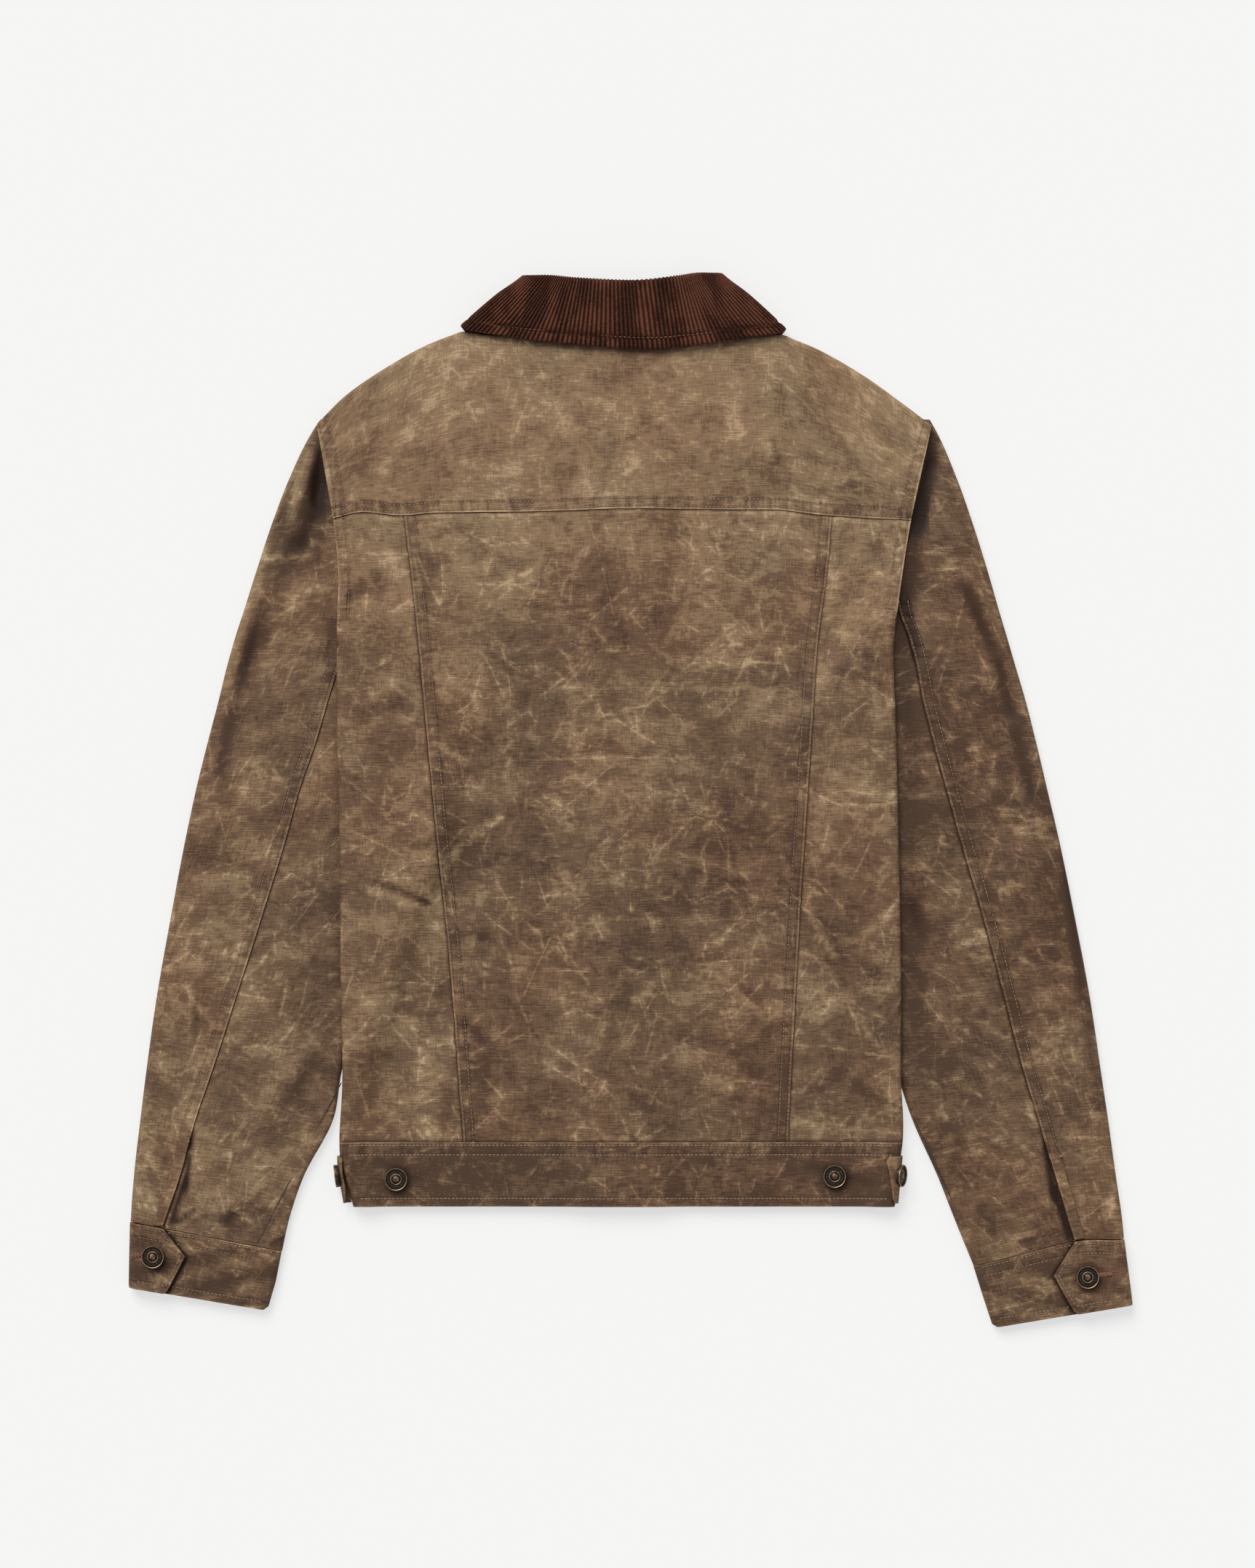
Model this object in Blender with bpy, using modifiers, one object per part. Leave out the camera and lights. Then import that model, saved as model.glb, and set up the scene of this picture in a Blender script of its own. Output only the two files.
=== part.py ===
"""A waxed cotton trucker jacket with a wide-wale corduroy collar, laid flat on its front with its back up.

The jacket lies on z = 0. +X runs across it, +Y runs from the hem towards the collar, and z = 0 is the
surface that it rests on. Sizes are in millimetres and become metres in mesh_object. Every cloth piece is a
closed wall between an outer and an inner grid of points, and each grid is worked out from the tables below.
"""

import math

import bmesh
import bpy
import numpy as np

MM = 0.001
FOOTPRINT_SHIFT = np.array([-0.6, 0.0, 0.0])  # puts the origin in the middle of the footprint

# Cloth and seams
CLOTH = 2.0  # waxed canvas with its turned edge
DOUBLED = 3.0  # waistband, cuffs and tabs, which are folded double
CORDUROY = 2.4
SEAM_GAP = 0.3
LAYER_GAP = 0.4
TUCK = 5.0  # how far a sleeve goes under the back's armhole edge

# Layers of the laid garment
BODY_THICK = 7.5  # front, air and back pressed together
SLEEVE_THICK = 7.4
SLEEVE_LIFT = 8.2  # how high the body lies where a sleeve is folded under it
PLACKET_LIFT = 3.0  # the front edge stands on its buttons
COLLAR_LIFT = 3.2  # the fronts lie on the collar's points
TAB_LIFT = 3.6  # the waistband's sides lie on the tabs
LIFT_RAMP = 26.0
COLLAR_POINTS = (112.0, 22.0)  # half width over the collar's points, and the ramp beyond it
COLLAR_POINTS_Y = (228.0, 30.0)  # the lift over them starts here, and is whole this much higher
WAIST_SIDE = (8.0, 20.0)  # the lift over the tabs: full this far in from the edge, and the ramp after it
WAIST_SIDE_Y = (-236.0, 24.0)
LIFT_MARGIN = 10.0  # the body is at its full lift this far past the sleeve under it
ARMHOLE_SWELL = 2.3  # the back's armhole edge rides over the sleeve
SWELL_INWARD = (9.0, 26.0)  # the swell is whole this far in from the edge, and the ramp after it
SWELL_Y = (100.0, 40.0)  # it starts at this level, and the ramp above it
FOLD_FADE_BACK = (12.0, 20.0)  # folds start this far in from the body's edge, and the ramp after it
FOLD_FADE_SLEEVE = (3.0, 14.0)  # the same outside the body's edge
SEAM_RISE = 0.6  # a felled seam of the back stands this proud
SEAM_WIDTH = 9.0
SEAM_FADE_Y = (250.0, 30.0)  # the seams end under the yoke
ARMPIT_RAMP = (170.0, 135.0)
SLEEVE_LEAVES = {"left": (-208.0, -257.0), "right": (-226.0, -262.0)}  # the body comes down beside the sleeve

# Levels up the garment
WAIST_SEAM_Y = -257.5
HEM_Y = -306.3
CENTRE_X = -7.0
PLACKET_HALF = 21.0
FRONT_NECK_Y = 283.0
NECK_HALF = 110.0
SHOULDER_END_X = 220.0  # the shoulder seam goes on to here
WRAP = 48.0  # how far a side panel goes on under the body to the side seam
UPPER_LEVELS = (213, 190, 165, 142, 137, 132, 127, 112, 98, 84, 66)
LEVELS = (*UPPER_LEVELS, 40, 0, -45, -90, -135, -180, -220, WAIST_SEAM_Y)
TURN_ROWS = (142.0, 127.0)  # the side's fold starts at the first level and is complete at the second
WRAP_ROWS = (127.0, 84.0)  # below it, the cloth under the body grows to its full width

# Small pieces
BUTTON_RADIUS = 8.5
FRONT_BUTTONS = 6
FRONT_BUTTONS_Y = (262.0, -236.0)
WALES = 68
WALE_RISE = 0.55
WALE_FADE = 1.4  # wales fade along the fold over this many stations from each end of the top

SIGN = {"left": -1.0, "right": 1.0}


def table(columns, *rows):
    """Rows under named columns, as one array for each column name."""
    return dict(zip(columns.split(), np.array(rows, float).T))


# A tack button's profile from the top of its stud to the middle of its underside, and a front button's.
TACK_BUTTON = table(
    "radius height",
    (0.0, 3.5),
    (1.7, 2.9),
    (2.6, 2.1),
    (6.1, 2.3),
    (7.3, 3.6),
    (BUTTON_RADIUS, 2.7),
    (8.3, 0.3),
    (7.5, 0.0),
    (0.0, 0.0),
)
FRONT_BUTTON = table(
    "radius height",
    (0.0, 2.6),
    (BUTTON_RADIUS, 2.6),
    (BUTTON_RADIUS, 0.6),
    (7.9, 0.0),
    (0.0, 0.0),
)

# The back: its two edges (armholes above, sides below) and the seams between centre and side panels.
BODY = table(
    "y left_edge left_seam right_seam right_edge",
    (284, -236.5, -177, 158, 229.0),
    (250, -227.5, -173, 155, 219.5),
    (213, -223.5, -170, 152, 211.8),
    (170, -219.5, -165, 148.5, 205.0),
    (127, -220.5, -160.5, 142.5, 199.2),
    (55, -220.6, -153.5, 137, 200.2),
    (-30, -218.6, -145.5, 131.5, 202.3),
    (-135, -217.8, -135, 125.5, 204.0),
    (-215, -216.6, -129, 121.3, 204.2),
    (-258, -219.0, -126, 119.5, 205.4),
    (-267, -218.6, -126, 119.3, 204.2),
    (-307, -208.2, -124, 118, 199.4),
)

# The sleeves: outer edge, inner edge (hidden under the body down to about y = -210) and back seam.
SLEEVE = {
    "left": table(
        "y outer inner seam",
        (281, -237.8, -231.0, -231.0),
        (241, -257.6, -221.0, -221.0),
        (208, -270.2, -218.0, -218.0),
        (175, -281.1, -214.8, -214.8),
        (142, -291.5, -214.6, -214.6),
        (122, -298.0, -209.0, -215.5),
        (100, -304.2, -187.0, -220.0),
        (77, -309.8, -170.0, -227.0),
        (44, -318.4, -156.0, -236.5),
        (11, -326.6, -153.0, -248.0),
        (-30, -335.4, -160.0, -259.5),
        (-88, -346.3, -178.0, -277.5),
        (-150, -357.2, -199.0, -297.5),
        (-205, -364.9, -217.4, -315.3),
        (-240, -369.2, -223.5, -327.0),
        (-285, -374.3, -246.5, -339.0),
        (-318, -376.6, -257.5, -350.0),
        (-341, -377.2, -262.5, -357.0),
    ),
    "right": table(
        "y outer inner seam",
        (281, 229.2, 223.2, 223.2),
        (241, 247.1, 212.5, 212.5),
        (208, 258.7, 206.0, 206.0),
        (175, 269.1, 200.7, 200.7),
        (142, 278.6, 193.5, 203.0),
        (122, 284.6, 183.0, 210.5),
        (100, 291.0, 166.0, 216.0),
        (77, 297.8, 152.0, 220.3),
        (44, 306.2, 139.0, 228.5),
        (11, 314.0, 137.0, 237.5),
        (-30, 323.6, 147.0, 249.0),
        (-88, 335.4, 165.0, 266.0),
        (-150, 347.0, 186.0, 282.5),
        (-205, 355.2, 201.0, 297.0),
        (-240, 360.4, 212.5, 307.5),
        (-285, 366.6, 232.5, 320.5),
        (-318, 371.3, 245.5, 329.5),
        (-351, 374.0, 259.0, 338.5),
    ),
}
SLEEVE_TOP_Y = 279.0
SLEEVE_END = {"left": (-317.6, -339.8), "right": (-331.0, -350.6)}  # outer and inner end of the cuff seam
EDGE_EASE = 14.0  # a sleeve's folds fade out this far from its edge
HEAD_RADIUS = (5.0, 30.0)  # thickness of the sleeve's fold at its head, and its growth along the sleeve
SKEW_FROM = 0.45  # below this part of the sleeve, its cuts turn to the slope of the cuff seam
SEAM_PART = 0.3  # where a cut meets the back seam, as a share of its width
ARMPIT_Y = 131.0  # above this level the front runs beside the sleeve's inner edge at this level
UNDER_TOP_Y = {"left": 118.0, "right": 146.0}  # the under sleeve starts below this level

# The bound edge of a sleeve's opening: where it runs along the sleeve, from 0 at the head to 1 at the cuff.
VENT = {"parts": (0.885, 0.998), "width": 8.0, "thickness": 1.2}

# The largest folds: a soft ridge (or trough, where the height is negative) from one point to the other.
FOLDS = table(
    "x0 y0 x1 y1 width height",
    (-243, 262, -297, 112, 13, 3.6),
    (-252, 250, -287, 80, 9, -1.8),
    (-238, 256, -252, 190, 9, 2.6),
    (-292, 60, -330, -90, 14, 2.2),
    (-300, -40, -352, -230, 13, 1.6),
    (236, 255, 262, 178, 12, 3.0),
    (262, 165, 300, 20, 13, -2.0),
    (278, 150, 318, -10, 11, 2.4),
    (288, -20, 330, -200, 13, 2.2),
    (305, -170, 340, -290, 12, 1.8),
    (106, 282, 113, 226, 16, 1.6),
    (-210, 305, -150, 285, 15, 1.2),
)

HIDDEN_WRAP = 0.4  # where the yoke's edge is hidden under the collar or in the sleeve head
NECK_FOLD = 4.3  # height of its turned edge there

# The yoke: its lower seam, its shoulder or neck edge, and how far it folds on under the shoulder.
YOKE = table(
    "low_x low_y top_x top_y wrap",
    (-223.5, 213.5, -235.5, 284.0, HIDDEN_WRAP),
    (-206, 218.0, -214, 305.5, 12),
    (-173, 216.0, -186, 325.0, 15),
    (-146, 218.0, -157, 341.5, 15),
    (-124, 218.4, -134, 350.4, 15),
    (-112, 218.6, -123.5, 343.5, HIDDEN_WRAP),
    (-85, 218.8, -101, 350.0, HIDDEN_WRAP),
    (-45, 219.8, -55, 349.5, HIDDEN_WRAP),
    (0, 221.2, 0, 348.0, HIDDEN_WRAP),
    (45, 220.8, 52, 349.0, HIDDEN_WRAP),
    (80, 220.5, 91, 350.0, HIDDEN_WRAP),
    (100, 220.4, 113.5, 341.0, HIDDEN_WRAP),
    (112, 220.2, 123.5, 347.4, 15),
    (138, 217.0, 146, 337.8, 15),
    (165, 215.0, 178, 319.0, 15),
    (190, 213.5, 205, 299.5, 12),
    (211.5, 212.3, 226.5, 283.0, HIDDEN_WRAP),
)

# The collar, from its left front end over the back to its right front end: fold line, outer edge,
# height of the outer face at each, and how far it has turned (0 on top, 180 under the garment).
COLLAR = table(
    "turn fold_x fold_y edge_x edge_y fold_z edge_z",
    (180, -17, 303, -88, 264, 0, 0),
    (180, -34, 326, -103, 290, 0, 0),
    (180, -58, 356, -117, 322, 0, 0),
    (180, -75, 387.2, -122.6, 346.4, 0, 0),
    (0, -75, 387.2, -122.6, 346.4, 18.4, 16.2),
    (0, -61, 389.6, -92, 348.4, 19.8, 15.8),
    (0, -39, 388.8, -48, 343.4, 21.0, 15.4),
    (0, 4, 387.0, 9, 339.4, 21.4, 15.2),
    (0, 36, 390.4, 46, 341.8, 21.0, 15.4),
    (0, 52, 393.2, 84, 347.0, 19.8, 15.8),
    (0, 66, 388.8, 111.6, 344.8, 18.4, 16.2),
    (180, 66, 388.8, 111.6, 344.8, 0, 0),
    (180, 46, 358, 105, 322, 0, 0),
    (180, 22, 328, 92, 290, 0, 0),
    (180, 5, 304, 76, 264, 0, 0),
)
COLLAR_FOLD_RADIUS = 3.3

# Cuffs: corners of the band, and how far the pointed end reaches in from the outer edge.
CUFF = {
    "left": table(
        "part outer_x outer_y inner_x inner_y point",
        (0.00, -376.9, -318.2, -262.6, -340.2, 26),
        (0.50, -377.5, -343.0, -267.0, -363.0, 43),
        (0.94, -377.9, -364.6, -272.6, -382.0, 30),
        (1.00, -377.6, -367.3, -276.0, -384.4, 27),
    ),
    "right": table(
        "part outer_x outer_y inner_x inner_y point",
        (0.00, 372.6, -331.6, 258.8, -351.0, 38),
        (0.50, 375.8, -355.5, 265.8, -373.5, 57),
        (0.94, 378.6, -377.6, 273.0, -395.2, 45),
        (1.00, 378.8, -380.3, 276.6, -397.4, 42),
    ),
}
CUFF_THICK = 8.6
CUFF_LAP = 16.0  # how far the cuff's other end goes on under the point
CUFF_BUTTON = {"left": (-358.9, -343.6), "right": (344.1, -358.9)}
BACK_BUTTON = {"left": (-176.2, -285.5), "right": (154.0, -283.3)}
WAIST_LEVELS = (WAIST_SEAM_Y - SEAM_GAP, -268.0, -280.0, -293.0, HEM_Y)
TAB_LEVELS = (-268.0, -280.0, -293.0, -303.5)
TAB_UNDER = 10.0
TAB_OVER = 3.0
TAB_BUTTON_PART = 0.42
TAB_SLACK = 0.1
TAB_POINT = (0.15, 1.0, 1.0, 0.15)  # how far the tab's end comes over the edge at each of its levels
WAIST_THICK = 8.5

SHARP_ANGLE = 40.0

# Finishes: colour, roughness and metallic value
FINISH = {
    "waxed_canvas": ((0.165, 0.112, 0.070), 0.62, 0.0),
    "corduroy": ((0.048, 0.018, 0.011), 0.85, 0.0),
    "antique_brass": ((0.20, 0.13, 0.07), 0.38, 0.9),
}


def clear_scene():
    for old in list(bpy.data.objects):
        bpy.data.objects.remove(old, do_unlink=True)


def smoothstep(t):
    t = np.clip(t, 0.0, 1.0)
    return t * t * (3.0 - 2.0 * t)


def hermite(knots, values, at):
    """A smooth curve through the values: cubic between knots, with slopes taken across each knot."""
    knots, values, at = np.asarray(knots, float), np.asarray(values, float), np.asarray(at, float)
    if knots[0] > knots[-1]:
        knots, values = knots[::-1], values[::-1]
    slopes = np.gradient(values, knots)
    at = np.clip(at, knots[0], knots[-1])
    i = np.clip(np.searchsorted(knots, at) - 1, 0, len(knots) - 2)
    span = knots[i + 1] - knots[i]
    t = (at - knots[i]) / span
    rise = t * t * (3 - 2 * t)
    return (
        values[i] * (1 - rise)
        + values[i + 1] * rise
        + slopes[i] * span * t * (1 - t) ** 2
        - slopes[i + 1] * span * t * t * (1 - t)
    )


def along(rows, name, y):
    return hermite(rows["y"], rows[name], y)


def body_edge(side, y):
    return along(BODY, side + "_edge", y)


def yoke_seam(x):
    return hermite(YOKE["low_x"], YOKE["low_y"], x)


# ---------------------------------------------------------------- heights of the layers


def sleeve_lift(side, x, y):
    """Height of the body over the part of the sleeve that is folded under it."""
    beyond = SIGN[side] * (along(SLEEVE[side], "inner", y) - x)
    high = smoothstep(1.0 - (beyond - LIFT_MARGIN) / LIFT_RAMP)
    start, full = ARMPIT_RAMP
    leave, down = SLEEVE_LEAVES[side]
    below_armpit = smoothstep((start - y) / (start - full))
    return SLEEVE_LIFT * high * below_armpit * smoothstep((y - down) / (leave - down))


def lift(x, y):
    """Height of the garment's underside above the surface."""
    heights = [sleeve_lift(side, x, y) for side in SIGN]
    heights.append(PLACKET_LIFT * smoothstep(1.0 - (np.abs(x - CENTRE_X) - PLACKET_HALF - 1.0) / LIFT_RAMP))
    across = smoothstep(1.0 - (np.abs(x - CENTRE_X) - COLLAR_POINTS[0]) / COLLAR_POINTS[1])
    heights.append(COLLAR_LIFT * across * smoothstep((y - COLLAR_POINTS_Y[0]) / COLLAR_POINTS_Y[1]))
    for side in SIGN:
        inward = SIGN[side] * (body_edge(side, y) - x)
        waist = smoothstep(1.0 - (inward - WAIST_SIDE[0]) / WAIST_SIDE[1])
        heights.append(TAB_LIFT * waist * smoothstep((WAIST_SIDE_Y[0] - y) / WAIST_SIDE_Y[1]))
    return np.maximum.reduce(np.broadcast_arrays(*heights))


def folds(x, y):
    """Sum of the large soft folds."""
    total = np.zeros(np.broadcast(x, y).shape)
    for x0, y0, x1, y1, width, height in zip(*FOLDS.values()):
        run = np.array([x1 - x0, y1 - y0])
        length = math.hypot(*run)
        t = ((x - x0) * run[0] + (y - y0) * run[1]) / length**2
        off = ((x - x0) * run[1] - (y - y0) * run[0]) / length
        ends = smoothstep(t / 0.2) * smoothstep((1 - t) / 0.2)
        total += height * np.exp(-((off / width) ** 2)) * ends
    return total


def back_top(x, y):
    """Height of the back's outer face: it swells along the armholes and stands a little proud at its seams."""
    proud = 0.0
    for side in SIGN:
        inward = SIGN[side] * (body_edge(side, y) - x)
        swell = 1.0 - smoothstep((inward - SWELL_INWARD[0]) / SWELL_INWARD[1])
        swell = swell * smoothstep((y - SWELL_Y[0]) / SWELL_Y[1])
        seam = np.exp(-(((x - along(BODY, side + "_seam", y)) / SEAM_WIDTH) ** 2))
        fade = smoothstep((SEAM_FADE_Y[0] - y) / SEAM_FADE_Y[1])
        proud = proud + ARMHOLE_SWELL * swell + SEAM_RISE * seam * fade
    inside = np.minimum(body_edge("right", y) - x, x - body_edge("left", y))
    share = smoothstep((inside - FOLD_FADE_BACK[0]) / FOLD_FADE_BACK[1])
    return lift(x, y) + BODY_THICK + proud + folds(x, y) * share


def sleeve_top(side, x, y):
    """Height of the sleeve's outer face: flat under the body, with its folds outside it."""
    outside = SIGN[side] * (x - body_edge(side, y))
    return SLEEVE_THICK + folds(x, y) * smoothstep((outside - FOLD_FADE_SLEEVE[0]) / FOLD_FADE_SLEEVE[1])


# ---------------------------------------------------------------- meshes


def material_for(name, finish):
    colour, roughness, metallic = FINISH[finish]
    made = bpy.data.materials.new(name + "_" + finish)
    made.use_nodes = True
    shader = made.node_tree.nodes["Principled BSDF"]
    shader.inputs["Base Color"].default_value = (*colour, 1.0)
    shader.inputs["Roughness"].default_value = roughness
    shader.inputs["Metallic"].default_value = metallic
    return made


def finish_object(obj, finish):
    obj.data.materials.append(material_for(obj.name, finish))
    obj.data.shade_smooth()
    obj.data.set_sharp_from_angle(angle=math.radians(SHARP_ANGLE))
    return obj


def jacket_object(name, mesh):
    obj = bpy.data.objects.new(name, mesh)
    JACKET.objects.link(obj)
    return obj


def mesh_object(name, points, faces, finish):
    """A closed mesh from points in millimetres, with its faces turned outwards."""
    mesh = bpy.data.meshes.new(name)
    mesh.from_pydata(((points + FOOTPRINT_SHIFT) * MM).tolist(), [], faces)
    work = bmesh.new()
    work.from_mesh(mesh)
    bmesh.ops.recalc_face_normals(work, faces=work.faces)
    work.to_mesh(mesh)
    work.free()
    return finish_object(jacket_object(name, mesh), finish)


def cells(grid):
    """Two triangles for each cell of a grid of point numbers, always cut along the same diagonal."""
    a, b, c, d = grid[:-1, :-1], grid[1:, :-1], grid[1:, 1:], grid[:-1, 1:]
    first = np.stack([a, b, c], axis=-1).reshape(-1, 3)
    second = np.stack([a, c, d], axis=-1).reshape(-1, 3)
    return np.concatenate([first, second]).tolist()


def wall(name, outer, inner, finish="waxed_canvas"):
    """The closed wall between two grids of points with the same rows. The inner one may have fewer columns."""
    rows, columns = outer.shape[:2]
    out = np.arange(rows * columns).reshape(rows, columns)
    into = np.arange(rows * inner.shape[1]).reshape(rows, -1) + out.size
    faces = cells(out) + [cell[::-1] for cell in cells(into)]
    faces += cells(np.stack([into[:, 0], out[:, 0]], axis=1))
    faces += cells(np.stack([out[:, -1], into[:, -1]], axis=1))
    for end in (0, -1):
        if columns == inner.shape[1]:
            faces += cells(np.stack([out[end], into[end]]))
        else:
            faces.append(out[end].tolist() + into[end, ::-1].tolist())
    points = np.concatenate([outer.reshape(-1, 3), inner.reshape(-1, 3)])
    return mesh_object(name, points, faces, finish)


def stack(x, y, z):
    return np.stack(np.broadcast_arrays(x, y, z), axis=-1).astype(float)


def lerp(a, b, t):
    return a + (b - a) * t


# ---------------------------------------------------------------- the back


SIDE_TURN = math.pi * BODY_THICK / 2  # length of cloth round the side's fold
SIDE_MARGIN = 8.0  # last step on top before the fold
SIDE_STEP = 1.0


def side_shares(y):
    """How much of the side's fold, and of the cloth under the body, is there at this level."""
    turn = np.clip((TURN_ROWS[0] - y) / (TURN_ROWS[0] - TURN_ROWS[1]), 0.0, 1.0)
    wrap = smoothstep((WRAP_ROWS[0] - y) / (WRAP_ROWS[0] - WRAP_ROWS[1]))
    return turn, wrap


def wrap_end(y):
    """Distance from the side edge to the end of the cloth under the body."""
    turn, wrap = side_shares(y)
    return turn * (BODY_THICK / 2 + 4 * SIDE_STEP) + wrap * WRAP


def side_panel(side):
    """From the back seam over the side edge to the side seam under the body; above, it ends at the armhole."""
    sign = SIGN[side]
    quarters = np.array([0.25, 0.5, 0.75, 1.0])
    top = np.linspace(0.0, 1.0, 5)
    outer, inner = [], []
    for row, level in enumerate(LEVELS):
        turn, wrap = (float(share) for share in side_shares(level))
        edge = float(body_edge(side, level))
        seam = float(along(BODY, side + "_seam", level)) + sign * SEAM_GAP / 2
        centre = edge - sign * BODY_THICK / 2 * turn
        low = float(lift(edge, level))
        half = (float(back_top(edge, level)) - low) / 2
        length = abs(centre - seam)
        last = length - SIDE_MARGIN
        flat = last + SIDE_MARGIN * np.arange(1, 10) / 9
        far = (WRAP * wrap + 4 * SIDE_STEP) * quarters
        rolled = length + np.concatenate([[0.0], SIDE_TURN * quarters, SIDE_TURN + far])
        over, under = [], []
        for s in np.concatenate([top * last, lerp(flat, rolled, turn)]):
            if s <= length:
                x = seam + sign * s
                y = float(yoke_seam(x)) - 2 * SEAM_GAP if row == 0 else level
                z = float(back_top(x, y))
                over.append((x, y, z))
                under.append((x, y, z - CLOTH))
            elif s <= length + SIDE_TURN:
                angle = math.pi * (s - length) / SIDE_TURN
                away = np.array([sign * math.sin(angle) * BODY_THICK / 2, 0.0, math.cos(angle) * half])
                shrink = np.array([1 - CLOTH / (BODY_THICK / 2), 1.0, 1 - CLOTH / half])
                middle = np.array([centre, level, low + half])
                over.append(middle + away)
                under.append(middle + away * shrink)
            else:
                x = centre - sign * (s - length - SIDE_TURN)
                z = float(lift(x, level))
                over.append((x, level, z))
                under.append((x, level, z + CLOTH))
        outer.append(over)
        inner.append(under)
    return wall("back_side_" + side, np.array(outer), np.array(inner))


def back_centre():
    across = np.array([0.0, 0.08, 0.2, 0.35, 0.5, 0.65, 0.8, 0.92, 1.0])[None, :]
    y = np.array(LEVELS)[:, None] + 0.0 * across
    left = along(BODY, "left_seam", y) + SEAM_GAP / 2
    right = along(BODY, "right_seam", y) - SEAM_GAP / 2
    x = lerp(left, right, across)
    y[0] = yoke_seam(x[0]) - 2 * SEAM_GAP
    z = back_top(x, y)
    return wall("back_centre", stack(x, y, z), stack(x, y, z - CLOTH))


def yoke():
    """From its seam with the back up to the neck, and over the shoulders to the front."""
    across = np.linspace(0.0, 1.0, 2 * len(YOKE["wrap"]) - 1)
    knots = np.linspace(0.0, 1.0, len(YOKE["wrap"]))
    low_x, top_x, top_y = (hermite(knots, YOKE[c], across) for c in ("low_x", "top_x", "top_y"))
    wrap = np.interp(across, knots, YOKE["wrap"])
    outer, inner = [], []
    radius = BODY_THICK / 2
    for x0, x1, y1, more in zip(low_x, top_x, top_y, wrap):
        y0, fold_y = float(yoke_seam(x0)), y1 - radius
        over, under = [], []
        for part in (0.0, 0.15, 0.45, 0.78):
            x, y = lerp(x0, x1, part), lerp(y0, fold_y, part)
            z = float(back_top(x, y))
            over.append((x, y, z))
            under.append((x, y, z - CLOTH))
        top = float(back_top(x1, fold_y))
        half = lerp(NECK_FOLD, top - float(lift(x1, y1)), float(smoothstep(more / 5.0))) / 2
        middle = np.array([x1, fold_y, top - half])
        shrink = np.array([1.0, 1 - CLOTH / radius, 1 - CLOTH / half])
        for angle in np.radians([0, 45, 90, 135, 180]):
            away = np.array([0.0, math.sin(angle) * radius, math.cos(angle) * half])
            over.append(middle + away)
            under.append(middle + away * shrink)
        over.append((x1, fold_y - more, top - 2 * half))
        under.append((x1, fold_y - more, top - 2 * half + CLOTH))
        outer.append(over)
        inner.append(under)
    return wall("back_yoke", np.array(outer), np.array(inner))


# ---------------------------------------------------------------- the fronts


def front_outer(side, y):
    """The front's outer edge: beside the sleeve's lower layer above, at the side seam under the body below."""
    sleeve_inner = along(SLEEVE[side], "inner", np.maximum(y, ARMPIT_Y))
    beside = np.abs(body_edge(side, y) - sleeve_inner) + 2 * SEAM_GAP
    return body_edge(side, y) - SIGN[side] * np.maximum(beside, wrap_end(y) + SEAM_GAP)


def front(side):
    """Plain front: it meets the yoke's fold under the shoulder, the placket, the sleeve and the side seam."""
    sign = SIGN[side]
    across = np.array([0.0, 0.14, 0.28, 0.42, 0.56, 0.7, 0.82, 0.92, 1.0])
    middle = CENTRE_X + sign * (PLACKET_HALF + SEAM_GAP)
    on_shoulder = (YOKE["wrap"] > HIDDEN_WRAP) | (np.abs(YOKE["top_x"]) > SHOULDER_END_X)
    on_side = on_shoulder & (np.sign(YOKE["top_x"]) == sign)
    seam_x = YOKE["top_x"][on_side]
    seam_y = (YOKE["top_y"] - BODY_THICK / 2 - YOKE["wrap"])[on_side] - 4 * SEAM_GAP
    order = np.argsort(seam_x)
    top_end = float(front_outer(side, seam_y[0 if sign < 0 else -1]))
    top_x = lerp(middle, top_end, across)
    neck_x = CENTRE_X + sign * NECK_HALF
    shoulder_y = np.interp(top_x, seam_x[order], seam_y[order])
    from_middle = np.clip((top_x - middle) / (neck_x - middle), 0, 1)
    neck_y = lerp(FRONT_NECK_Y, float(np.max(seam_y)), from_middle**2)
    top_y = np.minimum(neck_y, shoulder_y)
    down = np.array([0.0, 0.2, 0.45, 0.72])[:, None]
    upper_y = lerp(top_y[None, :], float(LEVELS[0]), down)
    y = np.vstack([upper_y, np.array(LEVELS)[:, None] + 0.0 * across])
    x = lerp(middle, front_outer(side, y), across[None, :])
    z = lift(x, y)
    return wall("front_" + side, stack(x, y, z), stack(x, y, z + CLOTH))


def front_placket():
    y = np.linspace(FRONT_NECK_Y, WAIST_SEAM_Y, 12)[:, None]
    x = CENTRE_X + np.linspace(-PLACKET_HALF, PLACKET_HALF, 3)[None, :]
    z = lift(x, y + 0 * x)
    return wall("front_placket", stack(x, y, z), stack(x, y, z + DOUBLED))


# ---------------------------------------------------------------- waistband and tabs


def waist_side(side, y, out, thickness, low_steps, top_steps):
    """Section of a band round one side of the waist, this far out from the waistband's face: its two faces."""
    sign = SIGN[side]
    edge = float(body_edge(side, y))
    radius = WAIST_THICK / 2
    centre = edge - sign * radius
    floor = float(lift(edge, y))
    over, under = [], []
    for a in low_steps:
        x = edge - sign * a
        z = float(lift(x, y))
        over.append((x, y, z - out))
        under.append((x, y, z - out + thickness))
    for angle in np.radians(np.linspace(-90, 90, 7)):
        for points, r in ((over, radius + out), (under, radius + out - thickness)):
            points.append((centre + sign * r * math.cos(angle), y, floor + radius + r * math.sin(angle)))
    for a in top_steps:
        x = edge - sign * a
        z = float(lift(x, y)) + WAIST_THICK
        over.append((x, y, z + out))
        under.append((x, y, z + out - thickness))
    return over, under


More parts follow.
